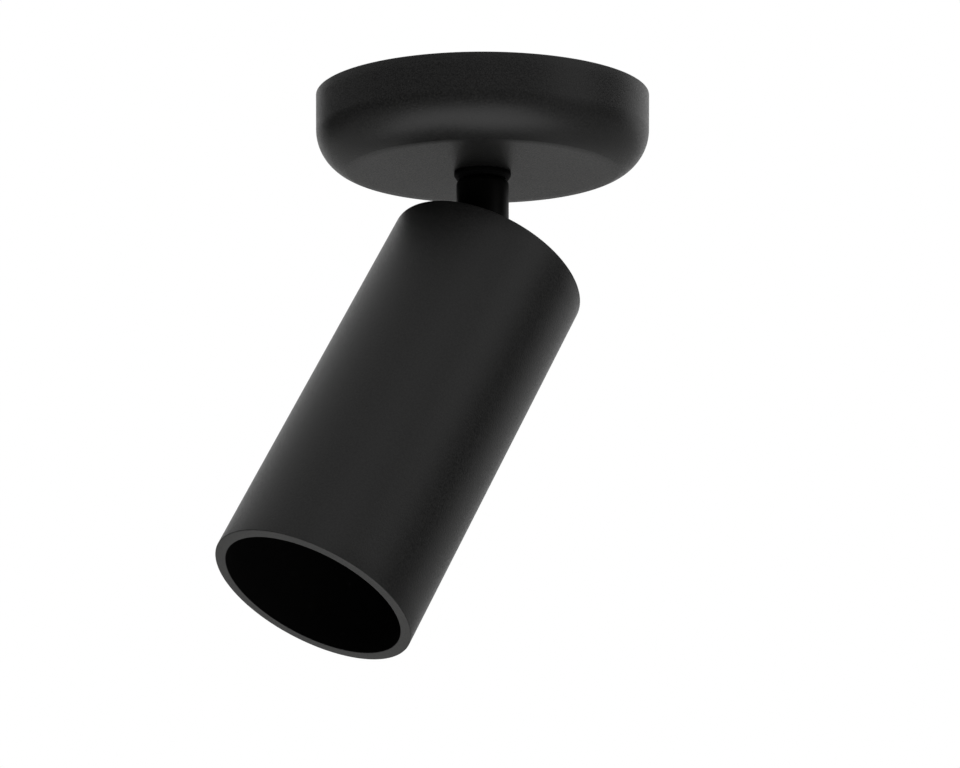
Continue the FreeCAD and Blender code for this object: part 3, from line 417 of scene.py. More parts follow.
def shader_group(name, inputs, outputs):
    """A new node group with these sockets, its input node and its output node."""
    group = bpy.data.node_groups.new(name, "ShaderNodeTree")
    for label, kind, value in inputs:
        group.interface.new_socket(label, in_out="INPUT", socket_type=kind).default_value = value
    for label, kind in outputs:
        group.interface.new_socket(label, in_out="OUTPUT", socket_type=kind)
    return group, group.nodes.new("NodeGroupInput"), group.nodes.new("NodeGroupOutput")


def noise_at(tree, scale, detail=2.0, roughness=0.5, stretch=(1, 1, 1)):
    """Noise over the object's own coordinates, with scale in cells per metre."""
    place = shader(tree, "ShaderNodeTexCoord").outputs["Object"]
    mapped = shader(tree, "ShaderNodeMapping", {"Vector": place, "Scale": stretch}).outputs[0]
    return shader(tree, "ShaderNodeTexNoise", {"Vector": mapped, "Scale": scale, "Detail": detail,
                                               "Roughness": roughness}).outputs[0]


def remapped(tree, value, low, high, to_low=0.0, to_high=1.0):
    """A value stretched from one range to another and held inside it."""
    return shader(tree, "ShaderNodeMapRange", {0: value, 1: low, 2: high, 3: to_low, 4: to_high}).outputs[0]


def grain_group():
    """Fine orange peel of a sprayed or moulded surface. Mottle is slow and Speckle fast, both from 0 to 1."""
    group, given, out = shader_group(
        "Grain", [("Cells", "NodeSocketFloat", 2600.0), ("Depth", "NodeSocketFloat", 0.3)],
        [("Normal", "NodeSocketVector"), ("Mottle", "NodeSocketFloat"), ("Speckle", "NodeSocketFloat")])
    peel = noise_at(group, given.outputs["Cells"], 3.0, 0.6)
    bump = shader(group, "ShaderNodeBump", {"Strength": given.outputs["Depth"], "Distance": 0.06 * MM,
                                            "Height": peel})
    group.links.new(bump.outputs[0], out.inputs["Normal"])
    group.links.new(remapped(group, noise_at(group, 260.0, 4.0), 0.3, 0.7), out.inputs["Mottle"])
    group.links.new(remapped(group, peel, 0.35, 0.75), out.inputs["Speckle"])
    return group


def brushed_group():
    """Fine lines round the vertical, as turning or rolling leaves them, and a slow bloom as plating has."""
    group, given, out = shader_group(
        "Brushed", [("Lines", "NodeSocketFloat", 900.0), ("Depth", "NodeSocketFloat", 0.2)],
        [("Normal", "NodeSocketVector"), ("Streak", "NodeSocketFloat"), ("Bloom", "NodeSocketFloat")])
    lines = noise_at(group, given.outputs["Lines"], 2.0, 0.5, (0.03, 0.03, 3.0))
    bump = shader(group, "ShaderNodeBump", {"Strength": given.outputs["Depth"], "Distance": 0.02 * MM,
                                            "Height": lines})
    group.links.new(bump.outputs[0], out.inputs["Normal"])
    group.links.new(remapped(group, lines, 0.3, 0.7), out.inputs["Streak"])
    group.links.new(remapped(group, noise_at(group, 160.0, 5.0, 0.6), 0.3, 0.7), out.inputs["Bloom"])
    return group


def stripe_group():
    """A coloured core's two tones, side by side round it, from its own UV, and the draw lines along it."""
    group, given, out = shader_group("Stripes", [("Share", "NodeSocketFloat", 0.5)],
                                     [("Mask", "NodeSocketFloat"), ("Draw", "NodeSocketFloat")])
    place = shader(group, "ShaderNodeTexCoord").outputs["UV"]
    mapped = shader(group, "ShaderNodeMapping", {"Vector": place, "Scale": (1, 40, 1)}).outputs[0]
    across = shader(group, "ShaderNodeSeparateXYZ", {0: mapped}).outputs[0]
    second = shader(group, "ShaderNodeMath", {0: across, 1: given.outputs["Share"]}, operation="GREATER_THAN")
    draw = shader(group, "ShaderNodeTexNoise", {"Vector": mapped, "Scale": 24.0, "Detail": 2.0})
    group.links.new(second.outputs[0], out.inputs["Mask"])
    group.links.new(draw.outputs[0], out.inputs["Draw"])
    return group


GROUP_MAKERS = {"Grain": grain_group, "Brushed": brushed_group, "Stripes": stripe_group}


def shared(tree, name, **values):
    """A node with the shared group, which is made the first time."""
    group = bpy.data.node_groups.get(name) or GROUP_MAKERS[name]()
    made = tree.nodes.new("ShaderNodeGroup")
    made.node_tree = group
    for label, value in values.items():
        made.inputs[label].default_value = value
    return made.outputs


# ---- finishes ----

def mixed(tree, factor, first, second):
    """One colour blended into another. Colours are linear red, green and blue."""
    blend = shader(tree, "ShaderNodeMix", {0: factor, 6: (*first, 1), 7: (*second, 1)}, data_type="RGBA")
    return blend.outputs[2]


def finish(name, build):
    """The named material, which is made the first time: build gets its tree and its Principled shader. The
    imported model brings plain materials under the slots' names, so these are named apart."""
    made = bpy.data.materials.get(f"{name}_finish")
    if made:
        return made
    made = bpy.data.materials.new(f"{name}_finish")
    made.use_nodes = True
    build(made.node_tree, made.node_tree.nodes["Principled BSDF"])
    return made


def linked(tree, surface, **values):
    """Sets or links the Principled shader's inputs, which are named with _ for a space."""
    for label, value in values.items():
        socket = surface.inputs[label.replace("_", " ")]
        if isinstance(value, bpy.types.NodeSocket):
            tree.links.new(value, socket)
        else:
            socket.default_value = value


def sprayed(name, cells, depth, dark, light, rough, specular):
    """A sprayed or moulded finish with fine peel: two tones, two roughnesses and how strongly it reflects."""
    def build(tree, surface):
        grain = shared(tree, "Grain", Cells=cells, Depth=depth)
        linked(tree, surface, Base_Color=mixed(tree, grain["Speckle"], dark, light),
               Roughness=remapped(tree, grain["Speckle"], 0, 1, *rough), Normal=grain["Normal"],
               Specular_IOR_Level=specular)
    return lambda: finish(name, build)


def plated(name, dark, light, rough, lines=900.0):
    """Bare or plated metal with brushing lines and a slow change of tint."""
    def build(tree, surface):
        brushed = shared(tree, "Brushed", Lines=lines)
        linked(tree, surface, Base_Color=mixed(tree, brushed["Bloom"], dark, light), Metallic=1.0,
               Roughness=remapped(tree, brushed["Streak"], 0, 1, *rough), Normal=brushed["Normal"])
    return lambda: finish(name, build)


def insulated(name, first, second, share=0.5):
    """A core's insulation: two colours side by side, or two near tones for a plain one."""
    def build(tree, surface):
        stripes = shared(tree, "Stripes", Share=share)
        grain = shared(tree, "Grain", Cells=5200.0, Depth=0.12)
        linked(tree, surface, Base_Color=mixed(tree, stripes["Mask"], first, second),
               Roughness=remapped(tree, stripes["Draw"], 0, 1, 0.3, 0.5), Normal=grain["Normal"],
               Subsurface_Weight=0.06, Subsurface_Scale=0.4 * MM)
    return lambda: finish(name, build)


def clear_lens():
    """Clear moulded plastic with a trace of flow haze."""
    def build(tree, surface):
        grain = shared(tree, "Grain", Cells=900.0, Depth=0.05)
        linked(tree, surface, Base_Color=(0.93, 0.95, 0.95, 1), Transmission_Weight=1.0, IOR=1.49,
               Roughness=remapped(tree, grain["Mottle"], 0, 1, 0.03, 0.12), Normal=grain["Normal"])
    return finish("lens_clear", build)


def pale_floor():
    """The floor, which the camera sees paler than the light makes it, and white far out, where it meets the
    white surroundings."""
    def build(tree, surface):
        seen = shader(tree, "ShaderNodeLightPath").outputs["Is Camera Ray"]
        place = shader(tree, "ShaderNodeTexCoord").outputs["Object"]
        away = shader(tree, "ShaderNodeVectorMath", {0: place}, operation="LENGTH").outputs["Value"]
        glow = remapped(tree, away, *FLOOR_FADE, *FLOOR_GLOW)
        shown = shader(tree, "ShaderNodeMath", {0: seen, 1: glow}, operation="MULTIPLY").outputs[0]
        grain = shared(tree, "Grain", Cells=300.0, Depth=0.1)
        linked(tree, surface, Base_Color=mixed(tree, grain["Mottle"], (0.79, 0.79, 0.78), (0.81, 0.81, 0.8)),
               Roughness=0.8, Emission_Color=(1, 1, 1, 1), Emission_Strength=shown)
    return finish("pale_floor", build)


FINISHES = {
    "black_coat": sprayed("black_coat", 2000.0, 1.0, (0.005, 0.005, 0.005), (0.014, 0.014, 0.0137),
                          (0.34, 0.52), 0.2),
    # a lighter copy of the black coat for the tube's foot: painted light, the brightness that light from below
    # gives the rim
    "black_rim": sprayed("black_rim", 2000.0, 1.0, (0.018, 0.018, 0.0176), (0.03, 0.03, 0.0293),
                         (0.475, 0.505), 0.25),
    # a darker, duller copy of the black coat for the tube's bore and the collar: painted shade
    "deep_black": sprayed("deep_black", 3000.0, 0.4, (0.0008, 0.0008, 0.0008), (0.0016, 0.0016, 0.0016),
                         (0.6, 0.75), 0.04),
    # a darker, duller copy of the black coat for the barrel and the knuckle: painted shade, as they stand between
    # the canopy and the tube
    "black_gloss": sprayed("black_gloss", 1500.0, 0.06, (0.0012, 0.0012, 0.001), (0.0024, 0.0024, 0.002),
                           (0.42, 0.5), 0.09),
    "black_screws": plated("black_screws", (0.02, 0.02, 0.022), (0.045, 0.043, 0.04), (0.32, 0.48)),
    "zinc_steel": plated("zinc_steel", (0.52, 0.54, 0.56), (0.62, 0.62, 0.6), (0.24, 0.42)),
    "brass": plated("brass", (0.72, 0.5, 0.2), (0.8, 0.6, 0.3), (0.2, 0.36)),
    "nylon": sprayed("nylon", 1800.0, 0.15, (0.72, 0.71, 0.66), (0.8, 0.79, 0.75), (0.35, 0.5), 0.5),
    "terminal_plastic": sprayed("terminal_plastic", 2200.0, 0.2, (0.62, 0.62, 0.58), (0.7, 0.7, 0.66),
                                (0.35, 0.5), 0.5),
    "ceramic": sprayed("ceramic", 1600.0, 0.5, (0.66, 0.64, 0.58), (0.76, 0.74, 0.69), (0.5, 0.72), 0.4),
    "brown_core": insulated("brown_core", (0.12, 0.045, 0.02), (0.14, 0.055, 0.026)),
    "blue_core": insulated("blue_core", (0.02, 0.09, 0.38), (0.026, 0.11, 0.43)),
    "green_yellow_core": insulated("green_yellow_core", (0.03, 0.3, 0.05), (0.8, 0.66, 0.03), 0.6),
    "lead_sheath": insulated("lead_sheath", (0.012, 0.012, 0.012), (0.016, 0.016, 0.016)),
    "lamp_body": sprayed("lamp_body", 2600.0, 0.3, (0.05, 0.05, 0.05), (0.07, 0.07, 0.068), (0.45, 0.6), 0.4),
    "lamp_plastic": sprayed("lamp_plastic", 2000.0, 0.2, (0.5, 0.5, 0.48), (0.58, 0.58, 0.56),
                            (0.4, 0.55), 0.45),
    "pin_metal": plated("pin_metal", (0.6, 0.6, 0.58), (0.68, 0.67, 0.64), (0.18, 0.32)),
    "board_white": sprayed("board_white", 2400.0, 0.15, (0.7, 0.7, 0.69), (0.76, 0.76, 0.75),
                           (0.35, 0.5), 0.45),
    "phosphor": sprayed("phosphor", 4000.0, 0.3, (0.72, 0.52, 0.1), (0.8, 0.62, 0.16), (0.5, 0.65), 0.4),
    "lens_clear": clear_lens,
}


# ---- settings ----

def length_setting(name, description, default):
    """A length in metres."""
    return FloatProperty(name=name, description=description, default=default, unit="LENGTH", precision=5)


def angle_setting(name, description, degrees):
    """An angle, whose default is given in degrees."""
    return FloatProperty(name=name, description=description, default=math.radians(degrees), subtype="ANGLE")


def power_setting(name, description, default):
    """A light's power in watts."""
    return FloatProperty(name=name, description=description, default=default, subtype="POWER")


def place_setting(name, description, default):
    """A place in metres."""
    return FloatVectorProperty(name=name, description=description, default=default, subtype="TRANSLATION",
                               precision=5)


def area_setting(name, default):
    """A softbox's width and height in metres."""
    return FloatVectorProperty(name=name, description="Its width and height", size=2, default=default,
                               unit="LENGTH")


class ShapeSettings(bpy.types.PropertyGroup):
    """Sizes of the fine forms."""
    segments: IntProperty(name="Segments", description="Columns round the large turned pieces",
                          default=240, min=48)
    edge: length_setting("Edge", "Radius of the soft edges of turned pieces", 0.2 * MM)
    canopy_wall: length_setting("Canopy wall", "Sheet thickness of the canopy", 1.5 * MM)
    corner_radius: length_setting("Canopy rounding", "Outer radius of the canopy's rounding", 13.35 * MM)
    corner_angle: angle_setting("Rounding turn", "How far it turns before it meets the flat", 72.1)
    corner_draft: length_setting("Canopy draft", "How much narrower the side is at the rounding", 0.12 * MM)
    thread_pitch: length_setting("Thread pitch", "Rise of the nipple's thread in a turn", 1.0 * MM)
    thread_depth: length_setting("Thread depth", "Depth of the nipple's thread", 0.5 * MM)
    fins: IntProperty(name="Cooling fins", description="Fins round the lamp's cone", default=36, min=0)
    fin_depth: length_setting("Fin depth", "Depth of the grooves between the fins", 1.1 * MM)
    lens_cell: length_setting("Lens cell", "Width of one small lens on the lamp's front", 2.2 * MM)
    lens_swell: length_setting("Lens swell", "How far each small lens stands out", 0.25 * MM)


class StageSettings(bpy.types.PropertyGroup):
    """Camera and light."""
    lens: FloatProperty(name="Lens", description="Focal length in mm on a 36 mm sensor", default=122.6)
    camera_place: place_setting("Camera place", "Where the camera stands", (-0.00076, -0.95295, -0.25381))
    camera_tilt: angle_setting("Camera tilt", "From straight down up to its line of sight", 99.89)
    fill: FloatProperty(name="Fill", description="Strength of the light from all round", default=0.5)
    front_power: power_setting("Front light", "Power of the softbox above the camera", 1.0)
    front_place: place_setting("Front light place", "Where it hangs", (0.2, -1.1, 0.8))
    front_size: area_setting("Front light size", (0.9, 0.7))
    right_power: power_setting("Right light", "Power of the softbox on the right", 2.4)
    right_place: place_setting("Right light place", "Where it hangs", (1.2, -0.65, 0.3))
    right_size: area_setting("Right light size", (0.8, 0.8))
    under_power: power_setting("Under light", "Power of the large softbox below", 45.0)
    under_place: place_setting("Under light place", "Where it lies", (-0.1, -0.35, -1.3))
    under_size: area_setting("Under light size", (2.4, 2.4))
    floor_drop: length_setting("Floor drop", "From the ceiling down to the floor", 1.4)
    flag_radius: length_setting("Flag radius", "From the middle out to the curved black cloth", 1.5)
    flag_left: angle_setting("Flag left", "How far it reaches round from the front to the left", 145)
    flag_right: angle_setting("Flag right", "How far it reaches round to the right", 115)
    flag_foot: length_setting("Flag foot", "Height of its lower edge", -0.3)
    flag_top: length_setting("Flag top", "Height of its upper edge", 0.5)


# ---- ceiling pieces ----

class SPOTLIGHT_OT_canopy(bpy.types.Operator):
    """Builds the canopy, a pressed cup whose rounded corner meets the flat at a crease, and its collar"""
    bl_idname = "spotlight.canopy"
    bl_label = "Canopy"

    def execute(self, context):
        sizes = context.scene.spotlight_shape
        cup = Extent("canopy")
        centre = (cup.radius - sizes.corner_draft - sizes.corner_radius,
                  cup.foot + sizes.corner_radius * math.sin(sizes.corner_angle))
        inner = sizes.corner_radius - sizes.canopy_wall
        floor = cup.foot + sizes.canopy_wall
        inner_turn = math.degrees(math.asin((centre[1] - floor) / inner))
        outer_turn = math.degrees(sizes.corner_angle)
        outside = [(cup.radius, cup.top), *arc(centre, sizes.corner_radius, 0, -outer_turn, steps=40),
                   (cup.bore, cup.foot)]
        inside = [(cup.bore, floor), *arc(centre, inner, -inner_turn, 0, steps=30),
                  (cup.radius - sizes.canopy_wall, cup.top)]
        outline = softened(filled(outside + inside, CANOPY_SPACING), sizes.edge)
        made = lathe("canopy_shape", outline, segments=sizes.segments)
        start, end = CANOPY_DRILL[0] * cup.radius, CANOPY_DRILL[1] * cup.radius
        drills = [screw_drill("canopy_side_screws", *span) for span in ((start, end), (-end, -start))]
        placed(drilled(made, *drills), "canopy")

        ring = Extent("collar_ring")
        narrower, rise = COLLAR_TAPER
        outline = [(ring.bore, ring.foot), (ring.radius - narrower, ring.foot),
                   (ring.radius, ring.foot + rise), (ring.radius, ring.top), (ring.bore, ring.top)]
        made = lathe("collar_shape", softened(outline, COLLAR_ROUND), segments=120)
        # the collar takes the darker copy of the coat: painted shade in place of the light on its underside
        placed(made, "collar_ring", "deep_black")
        return {"FINISHED"}


class SPOTLIGHT_OT_screws(bpy.types.Operator):
    """Dresses the grub screws of the canopy and the stem: their sockets and edges are rounded over"""
    bl_idname = "spotlight.screws"
    bl_label = "Grub screws"

    def execute(self, context):
        dressed("canopy_side_screws", "stop_screw", "knuckle_screw")
        return {"FINISHED"}


class SPOTLIGHT_OT_nipple(bpy.types.Operator):
    """Builds the hollow nipple, whose thread sinks and rises as a triangle wave of height plus pitch times
    the share of the turn, and the washers, nut and bush on it"""
    bl_idname = "spotlight.nipple"
    bl_label = "Nipple and washers"

    def execute(self, context):
        sizes = context.scene.spotlight_shape
        tube = Extent("threaded_nipple")

        def thread(radius, height, angle):
            turn = height / sizes.thread_pitch + angle / TURN
            wave = np.abs(2 * (turn - np.floor(turn)) - 1)
            ease = np.clip(np.minimum(tube.top - height, height - tube.foot) / sizes.thread_pitch, 0, 1)
            outside = radius > tube.radius - sizes.edge
            return radius - outside * ease * wave * sizes.thread_depth, height

        outline = filled(softened(tube.profile(), sizes.edge), sizes.thread_pitch / 6)
        placed(lathe("nipple_shape", outline, segments=72, shape=thread), "threaded_nipple")

        outline = softened(Extent("backing_washer").profile(), sizes.edge)
        placed(lathe("backing_washer_shape", outline, segments=120), "backing_washer")
        dressed("tooth_washer", "swivel_bush")

        nut = Extent("nipple_lock_nut")
        flat = nut.radius * math.cos(math.pi / NUT_SIDES)

        def hexagonal(radius, height, angle):
            side = nut.radius * polygon(angle, NUT_SIDES)
            return np.where(radius > nut.bore + sizes.edge, np.minimum(radius, side), radius), height

        outline = [(nut.bore, nut.foot), (flat, nut.foot), (nut.radius, nut.foot + NUT_CHAMFER),
                   (nut.radius, nut.top - NUT_CHAMFER), (flat, nut.top), (nut.bore, nut.top)]
        outline = filled(softened(outline, FINE_ROUND), NUT_SPACING)
        placed(lathe("lock_nut_shape", outline, segments=180, shape=hexagonal), "nipple_lock_nut")
        return {"FINISHED"}


class SPOTLIGHT_OT_plate(bpy.types.Operator):
    """Dresses the ceiling plate, its earth screw and the earth lug"""
    bl_idname = "spotlight.plate"
    bl_label = "Ceiling plate"

    def execute(self, context):
        dressed("ceiling_plate", "earth_screw", "earth_lug")
        return {"FINISHED"}


class SPOTLIGHT_OT_terminals(bpy.types.Operator):
    """Dresses the terminal block with its clamps and screws"""
    bl_idname = "spotlight.terminals"
    bl_label = "Terminal block"

    def execute(self, context):
        dressed("terminal_block", "terminal_clamps", "terminal_screws", "terminal_fixing_screws")
        return {"FINISHED"}


# ---- leads ----

CORE_RADIUS = 0.6 * MM
LEAD_RADIUS = 1.5 * MM
STEM_LEAD_BEND = 25 * MM

# the corners of each lead in millimetres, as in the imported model. The cores and the jumper are in the
# ceiling's space and end at a clamp. The stem's lead is in the stem's space, the head's in the head's, and
# both run down.
CORES = {
    "live_core": [(-0.62, -0.36, -12.2), (-1.6, -0.36, -4.6), (-7.2, 12, -4.9), (-8, 16, -9.1),
                  (-8, 26, -9.1)],
    "neutral_core": [(0, 0.72, -12.2), (0, 0.72, -4.6), (0, 12, -4.9), (0, 16, -9.1), (0, 26, -9.1)],
    "earth_core": [(0.62, -0.36, -12.2), (1.48, -0.36, -4.6), (6.64, 12, -4.9), (7.375, 16, -9.1),
                   (7.375, 26, -9.1)],
    "earth_jumper": [(21, 14, -2.8), (14.5, 14, -2.8), (8.625, 15.5, -9.1), (8.625, 26, -9.1)],
}
STEM_LEAD = [(0, 0, -12.5), (0, 0, -32), (-5.839, 0, -60.71)]
HEAD_LEAD = [(-1.894, 0, -7.95), (0.069, 0, -13.088), (0.069, 0, -20.2)]


class SPOTLIGHT_OT_leads(bpy.types.Operator):
    """Builds the leads as round runs of straight stretches and tangent arcs"""
    bl_idname = "spotlight.leads"
    bl_label = "Leads"

    def execute(self, context):
        for node, corners in CORES.items():
            route = rounded_route(np.array(corners) * MM)
            placed(sweep(f"{node}_shape", route, CORE_RADIUS), node)
        route = rounded_route(np.array(STEM_LEAD) * MM, STEM_LEAD_BEND)
        placed(sweep("stem_lead_shape", route, LEAD_RADIUS, STEM), "stem_lead")
        route = rounded_route(np.array(HEAD_LEAD) * MM)
        made = sweep("head_lead_shape", route, LEAD_RADIUS, HEAD)
        made.data.materials.append(FINISHES[SLOT_OF["head_lead"]]())
        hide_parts("head_lead")
        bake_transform(made)
        return {"FINISHED"}


# ---- stem ----

class SPOTLIGHT_OT_stem(bpy.types.Operator):
    """Builds the barrel under the collar, drilled for its two grub screws, with its washer and knuckle"""
    bl_idname = "spotlight.stem"
    bl_label = "Stem"

    def execute(self, context):
        sizes = context.scene.spotlight_shape
        barrel = Extent("swivel_barrel", STEM)
        cavity = barrel.radius - BARREL_WALL
        ceiling = barrel.top - BARREL_TOP_WALL
        outline = [(cavity, barrel.foot), (barrel.radius, barrel.foot), (barrel.radius, barrel.top),
                   (barrel.bore, barrel.top), (barrel.bore, ceiling), (cavity, ceiling)]
        rounds = [sizes.edge, sizes.edge, BARREL_ROUND, BARREL_EDGE, sizes.edge, BARREL_EDGE]
        outline = filled(softened(outline, rounds, steps=7), BARREL_SPACING)
        made = lathe("swivel_barrel_shape", outline, STEM, sizes.segments)
        start, end = BARREL_DRILL[0] * cavity, BARREL_DRILL[1] * barrel.radius
        drills = [screw_drill(node, start, end, STEM) for node in ("stop_screw", "knuckle_screw")]
        # the barrel takes the darker copy of the coat: painted shade
        placed(drilled(made, *drills), "swivel_barrel", "black_gloss")

        outline = softened(Extent("swivel_washer", STEM).profile(), FINE_ROUND)
        placed(lathe("swivel_washer_shape", outline, STEM), "swivel_washer")
        # the knuckle takes the same painted shade
        dressed("knuckle", look="black_gloss")
        return {"FINISHED"}


# ---- head ----

class SPOTLIGHT_OT_tube(bpy.types.Operator):
    """Builds the tube, turned with a step inside its top for the cap, and dresses the cap"""
    bl_idname = "spotlight.tube"
    bl_label = "Tube and cap"

    def execute(self, context):
        sizes = context.scene.spotlight_shape
        tube, cap = Extent("head_tube", HEAD), Extent("head_cap", HEAD)
        step = cap.radius + CAP_PLAY
        outline = [(tube.bore, tube.foot), (tube.radius, tube.foot), (tube.radius, tube.top),
                   (step, tube.top), (step, cap.foot), (tube.bore, cap.foot)]
        outline = filled(softened(outline, TUBE_ROUND, steps=7), TUBE_SPACING)
        made = lathe("head_tube_shape", outline, HEAD, sizes.segments)
        placed(made, "head_tube")
        # the bore takes the darker copy of the coat, painted shade, and the foot the lighter copy, painted light
        made.data.materials.append(FINISHES["deep_black"]())
        made.data.materials.append(FINISHES["black_rim"]())
        centres = np.empty(3 * len(made.data.polygons))
        made.data.polygons.foreach_get("center", centres)
        centres = (centres.reshape(-1, 3) - HEAD[:3, 3]) @ HEAD[:3, :3]
        # faces of the bore get painted shade, faces of the foot painted light
        inside = np.hypot(centres[:, 0], centres[:, 1]) < tube.bore + BORE_SKIN
        painted_light_rim = (centres[:, 2] < tube.foot + RIM_SKIN) & ~inside
        made.data.polygons.foreach_set("material_index", inside + 2 * painted_light_rim.astype(np.int32))
        dressed("head_cap")
        return {"FINISHED"}


class SPOTLIGHT_OT_hinge(bpy.types.Operator):
    """Dresses the tilt screw and the washers beside the tongue"""
    bl_idname = "spotlight.hinge"
    bl_label = "Hinge"

    def execute(self, context):
        dressed("hinge_screw", "hinge_spring_washer", "hinge_friction_washers")
        return {"FINISHED"}


class SPOTLIGHT_OT_holder(bpy.types.Operator):
    """Dresses the bent bracket, the lampholder and their screws"""
    bl_idname = "spotlight.holder"
    bl_label = "Lampholder"

    def execute(self, context):
        dressed("lampholder", "holder_bracket", "holder_bracket_screws", "lampholder_screws",
                "lampholder_contacts")
        return {"FINISHED"}


class SPOTLIGHT_OT_lamp(bpy.types.Operator):
    """Builds the lamp. The grooves between its cooling fins sink as half a sine wave along the cone times a
    power of a raised cosine round it. The lens has small domes, half a sine wave along the radius times half
    of one round the ring"""
    bl_idname = "spotlight.lamp"
    bl_label = "Lamp"

    def execute(self, context):
        sizes = context.scene.spotlight_shape
        body, lens, board = (Extent(node, HEAD) for node in ("lamp_housing", "lamp_lens", "led_board"))
        base = Extent("lamp_base", HEAD)
        cone = base.foot - LAMP_CONE_LENGTH
        inner = body.radius - LAMP_WALL

        def fins(radius, height, angle):
            share = np.clip((base.foot - height) / LAMP_CONE_LENGTH, 0, 1)
            outside = radius > base.radius + (inner - base.radius) * share
            dip = outside * np.sin(math.pi * share) * (0.5 - 0.5 * np.cos(sizes.fins * angle)) ** FIN_FULLNESS
            return radius - dip * sizes.fin_depth, height

        outline = [(0, board.top), (board.radius, board.top), (inner, cone), (inner, body.foot),
                   (body.radius, body.foot), (body.radius, cone), (base.radius, base.foot), (0, base.foot)]
        outline = filled(softened(outline, LAMP_ROUND, closed=False), LAMP_SPACING, closed=False)
        made = lathe("lamp_housing_shape", outline, HEAD, 10 * sizes.fins, closed=False, shape=fins)
        placed(made, "lamp_housing")

        def domes(radius, height, angle):
            ring = np.floor(radius / sizes.lens_cell)
            count = np.maximum(1, np.round(TURN * (ring + 0.5)))
            along = np.sin(math.pi * np.mod(radius / sizes.lens_cell, 1))
            across = np.where(ring > 0, np.abs(np.sin(count * angle / 2 + ring)), 1)
            front = (height < lens.foot + LENS_SKIN) & (radius < lens.radius - sizes.lens_cell / 4)
            return radius, height - front * sizes.lens_swell * along * across

        outline = [(0, lens.foot), (lens.radius, lens.foot), (lens.radius, lens.top), (0, lens.top)]
        outline = filled(softened(outline, sizes.edge, closed=False), sizes.lens_cell / 6, closed=False)
        made = lathe("lamp_lens_shape", outline, HEAD, segments=360, closed=False, shape=domes)
        placed(made, "lamp_lens")
        dressed("lamp_base", "lamp_pins", "led_board", "led_chips")
        return {"FINISHED"}


# ---- stage ----

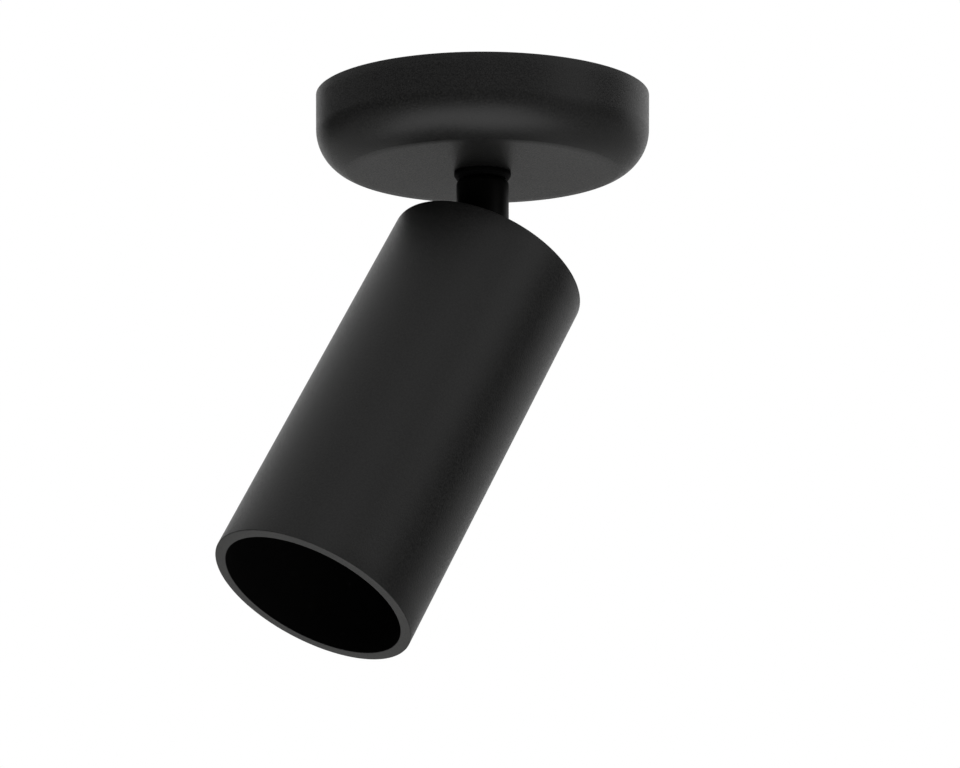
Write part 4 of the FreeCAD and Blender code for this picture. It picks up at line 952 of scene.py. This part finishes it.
class SPOTLIGHT_OT_stage(bpy.types.Operator):
    """Sets up the camera, the floor, the white surroundings, the black cloth and the softboxes"""
    bl_idname = "spotlight.stage"
    bl_label = "Stage"

    def execute(self, context):
        stage = context.scene.spotlight_stage
        scene = context.scene
        camera = bpy.data.objects.new("camera", bpy.data.cameras.new("camera"))
        camera.data.lens = stage.lens
        camera.data.clip_start = 10 * MM
        camera.location = stage.camera_place
        camera.rotation_euler = (stage.camera_tilt, 0, 0)
        scene.collection.objects.link(camera)
        scene.camera = camera

        mesh = bpy.data.meshes.new("floor")
        corners = [(-1, -1), (1, -1), (1, 1), (-1, 1)]
        points = [(FLOOR_REACH * x, FLOOR_REACH * y, -stage.floor_drop) for x, y in corners]
        mesh.from_pydata(points, [], [(0, 1, 2, 3)])
        floor = bpy.data.objects.new("floor", mesh)
        mesh.materials.append(pale_floor())
        scene.collection.objects.link(floor)

        turn = np.linspace(-stage.flag_left, stage.flag_right, 64)
        edge = np.stack([stage.flag_radius * np.sin(turn), -stage.flag_radius * np.cos(turn)], -1)
        points = np.concatenate([np.column_stack([edge, np.full(len(edge), height)])
                                 for height in (stage.flag_foot, stage.flag_top)])
        i = np.arange(len(edge) - 1)
        mesh = bpy.data.meshes.new("flag")
        mesh.from_pydata(points.tolist(), [],
                         np.stack([i, i + 1, i + 1 + len(edge), i + len(edge)], -1).tolist())
        flag = bpy.data.objects.new("flag", mesh)
        mesh.materials.append(finish("black_cloth", lambda tree, surface: linked(
            tree, surface, Base_Color=(0.004, 0.004, 0.004, 1), Roughness=1.0, Specular_IOR_Level=0.0)))
        flag.visible_camera = False
        scene.collection.objects.link(flag)

        for name in ("front", "right", "under"):
            place = getattr(stage, f"{name}_place")
            light = bpy.data.lights.new(f"{name}_light", "AREA")
            light.shape = "RECTANGLE"
            light.size, light.size_y = getattr(stage, f"{name}_size")
            light.energy = getattr(stage, f"{name}_power")
            box = bpy.data.objects.new(f"{name}_light", light)
            box.location = place
            box.rotation_euler = (Vector(AIM) - Vector(place)).to_track_quat("-Z", "Y").to_euler()
            box.visible_camera = False
            scene.collection.objects.link(box)

        world = bpy.data.worlds.new("white")
        world.use_nodes = True
        tree = world.node_tree
        path = shader(tree, "ShaderNodeLightPath").outputs
        seen = shader(tree, "ShaderNodeMath", {0: path["Is Camera Ray"], 1: path["Is Glossy Ray"]},
                      operation="MAXIMUM")
        seen = shader(tree, "ShaderNodeMath", {0: seen.outputs[0], 1: path["Is Transmission Ray"]},
                      operation="MAXIMUM")
        strength = remapped(tree, seen.outputs[0], 0, 1, stage.fill, 1.0)
        background = tree.nodes["Background"]
        background.inputs["Color"].default_value = (1, 1, 1, 1)
        tree.links.new(strength, background.inputs["Strength"])
        scene.world = world
        scene.view_settings.view_transform = "Standard"
        return {"FINISHED"}


# ---- panel ----

BUILDERS = (SPOTLIGHT_OT_canopy, SPOTLIGHT_OT_screws, SPOTLIGHT_OT_nipple, SPOTLIGHT_OT_plate,
            SPOTLIGHT_OT_terminals, SPOTLIGHT_OT_leads, SPOTLIGHT_OT_stem, SPOTLIGHT_OT_tube,
            SPOTLIGHT_OT_hinge, SPOTLIGHT_OT_holder, SPOTLIGHT_OT_lamp, SPOTLIGHT_OT_stage)


class SPOTLIGHT_PT_panel(bpy.types.Panel):
    """The spotlight's settings and its build steps"""
    bl_idname = "SPOTLIGHT_PT_panel"
    bl_label = "Ceiling spotlight"
    bl_space_type = "VIEW_3D"
    bl_region_type = "UI"
    bl_category = "Spotlight"

    def draw(self, context):
        for settings in (context.scene.spotlight_shape, context.scene.spotlight_stage):
            column = self.layout.column()
            for name in type(settings).__annotations__:
                column.prop(settings, name)
        column = self.layout.column()
        for builder in BUILDERS:
            column.operator(builder.bl_idname)


CLASSES = (ShapeSettings, StageSettings, *BUILDERS, SPOTLIGHT_PT_panel)


def register():
    for made in CLASSES:
        bpy.utils.register_class(made)
    bpy.types.Scene.spotlight_shape = PointerProperty(type=ShapeSettings)
    bpy.types.Scene.spotlight_stage = PointerProperty(type=StageSettings)


def unregister():
    del bpy.types.Scene.spotlight_stage
    del bpy.types.Scene.spotlight_shape
    for made in reversed(CLASSES):
        bpy.utils.unregister_class(made)


def main():
    register()
    for builder in BUILDERS:
        family, name = builder.bl_idname.split(".")
        getattr(getattr(bpy.ops, family), name)()


if __name__ == "__main__":
    main()
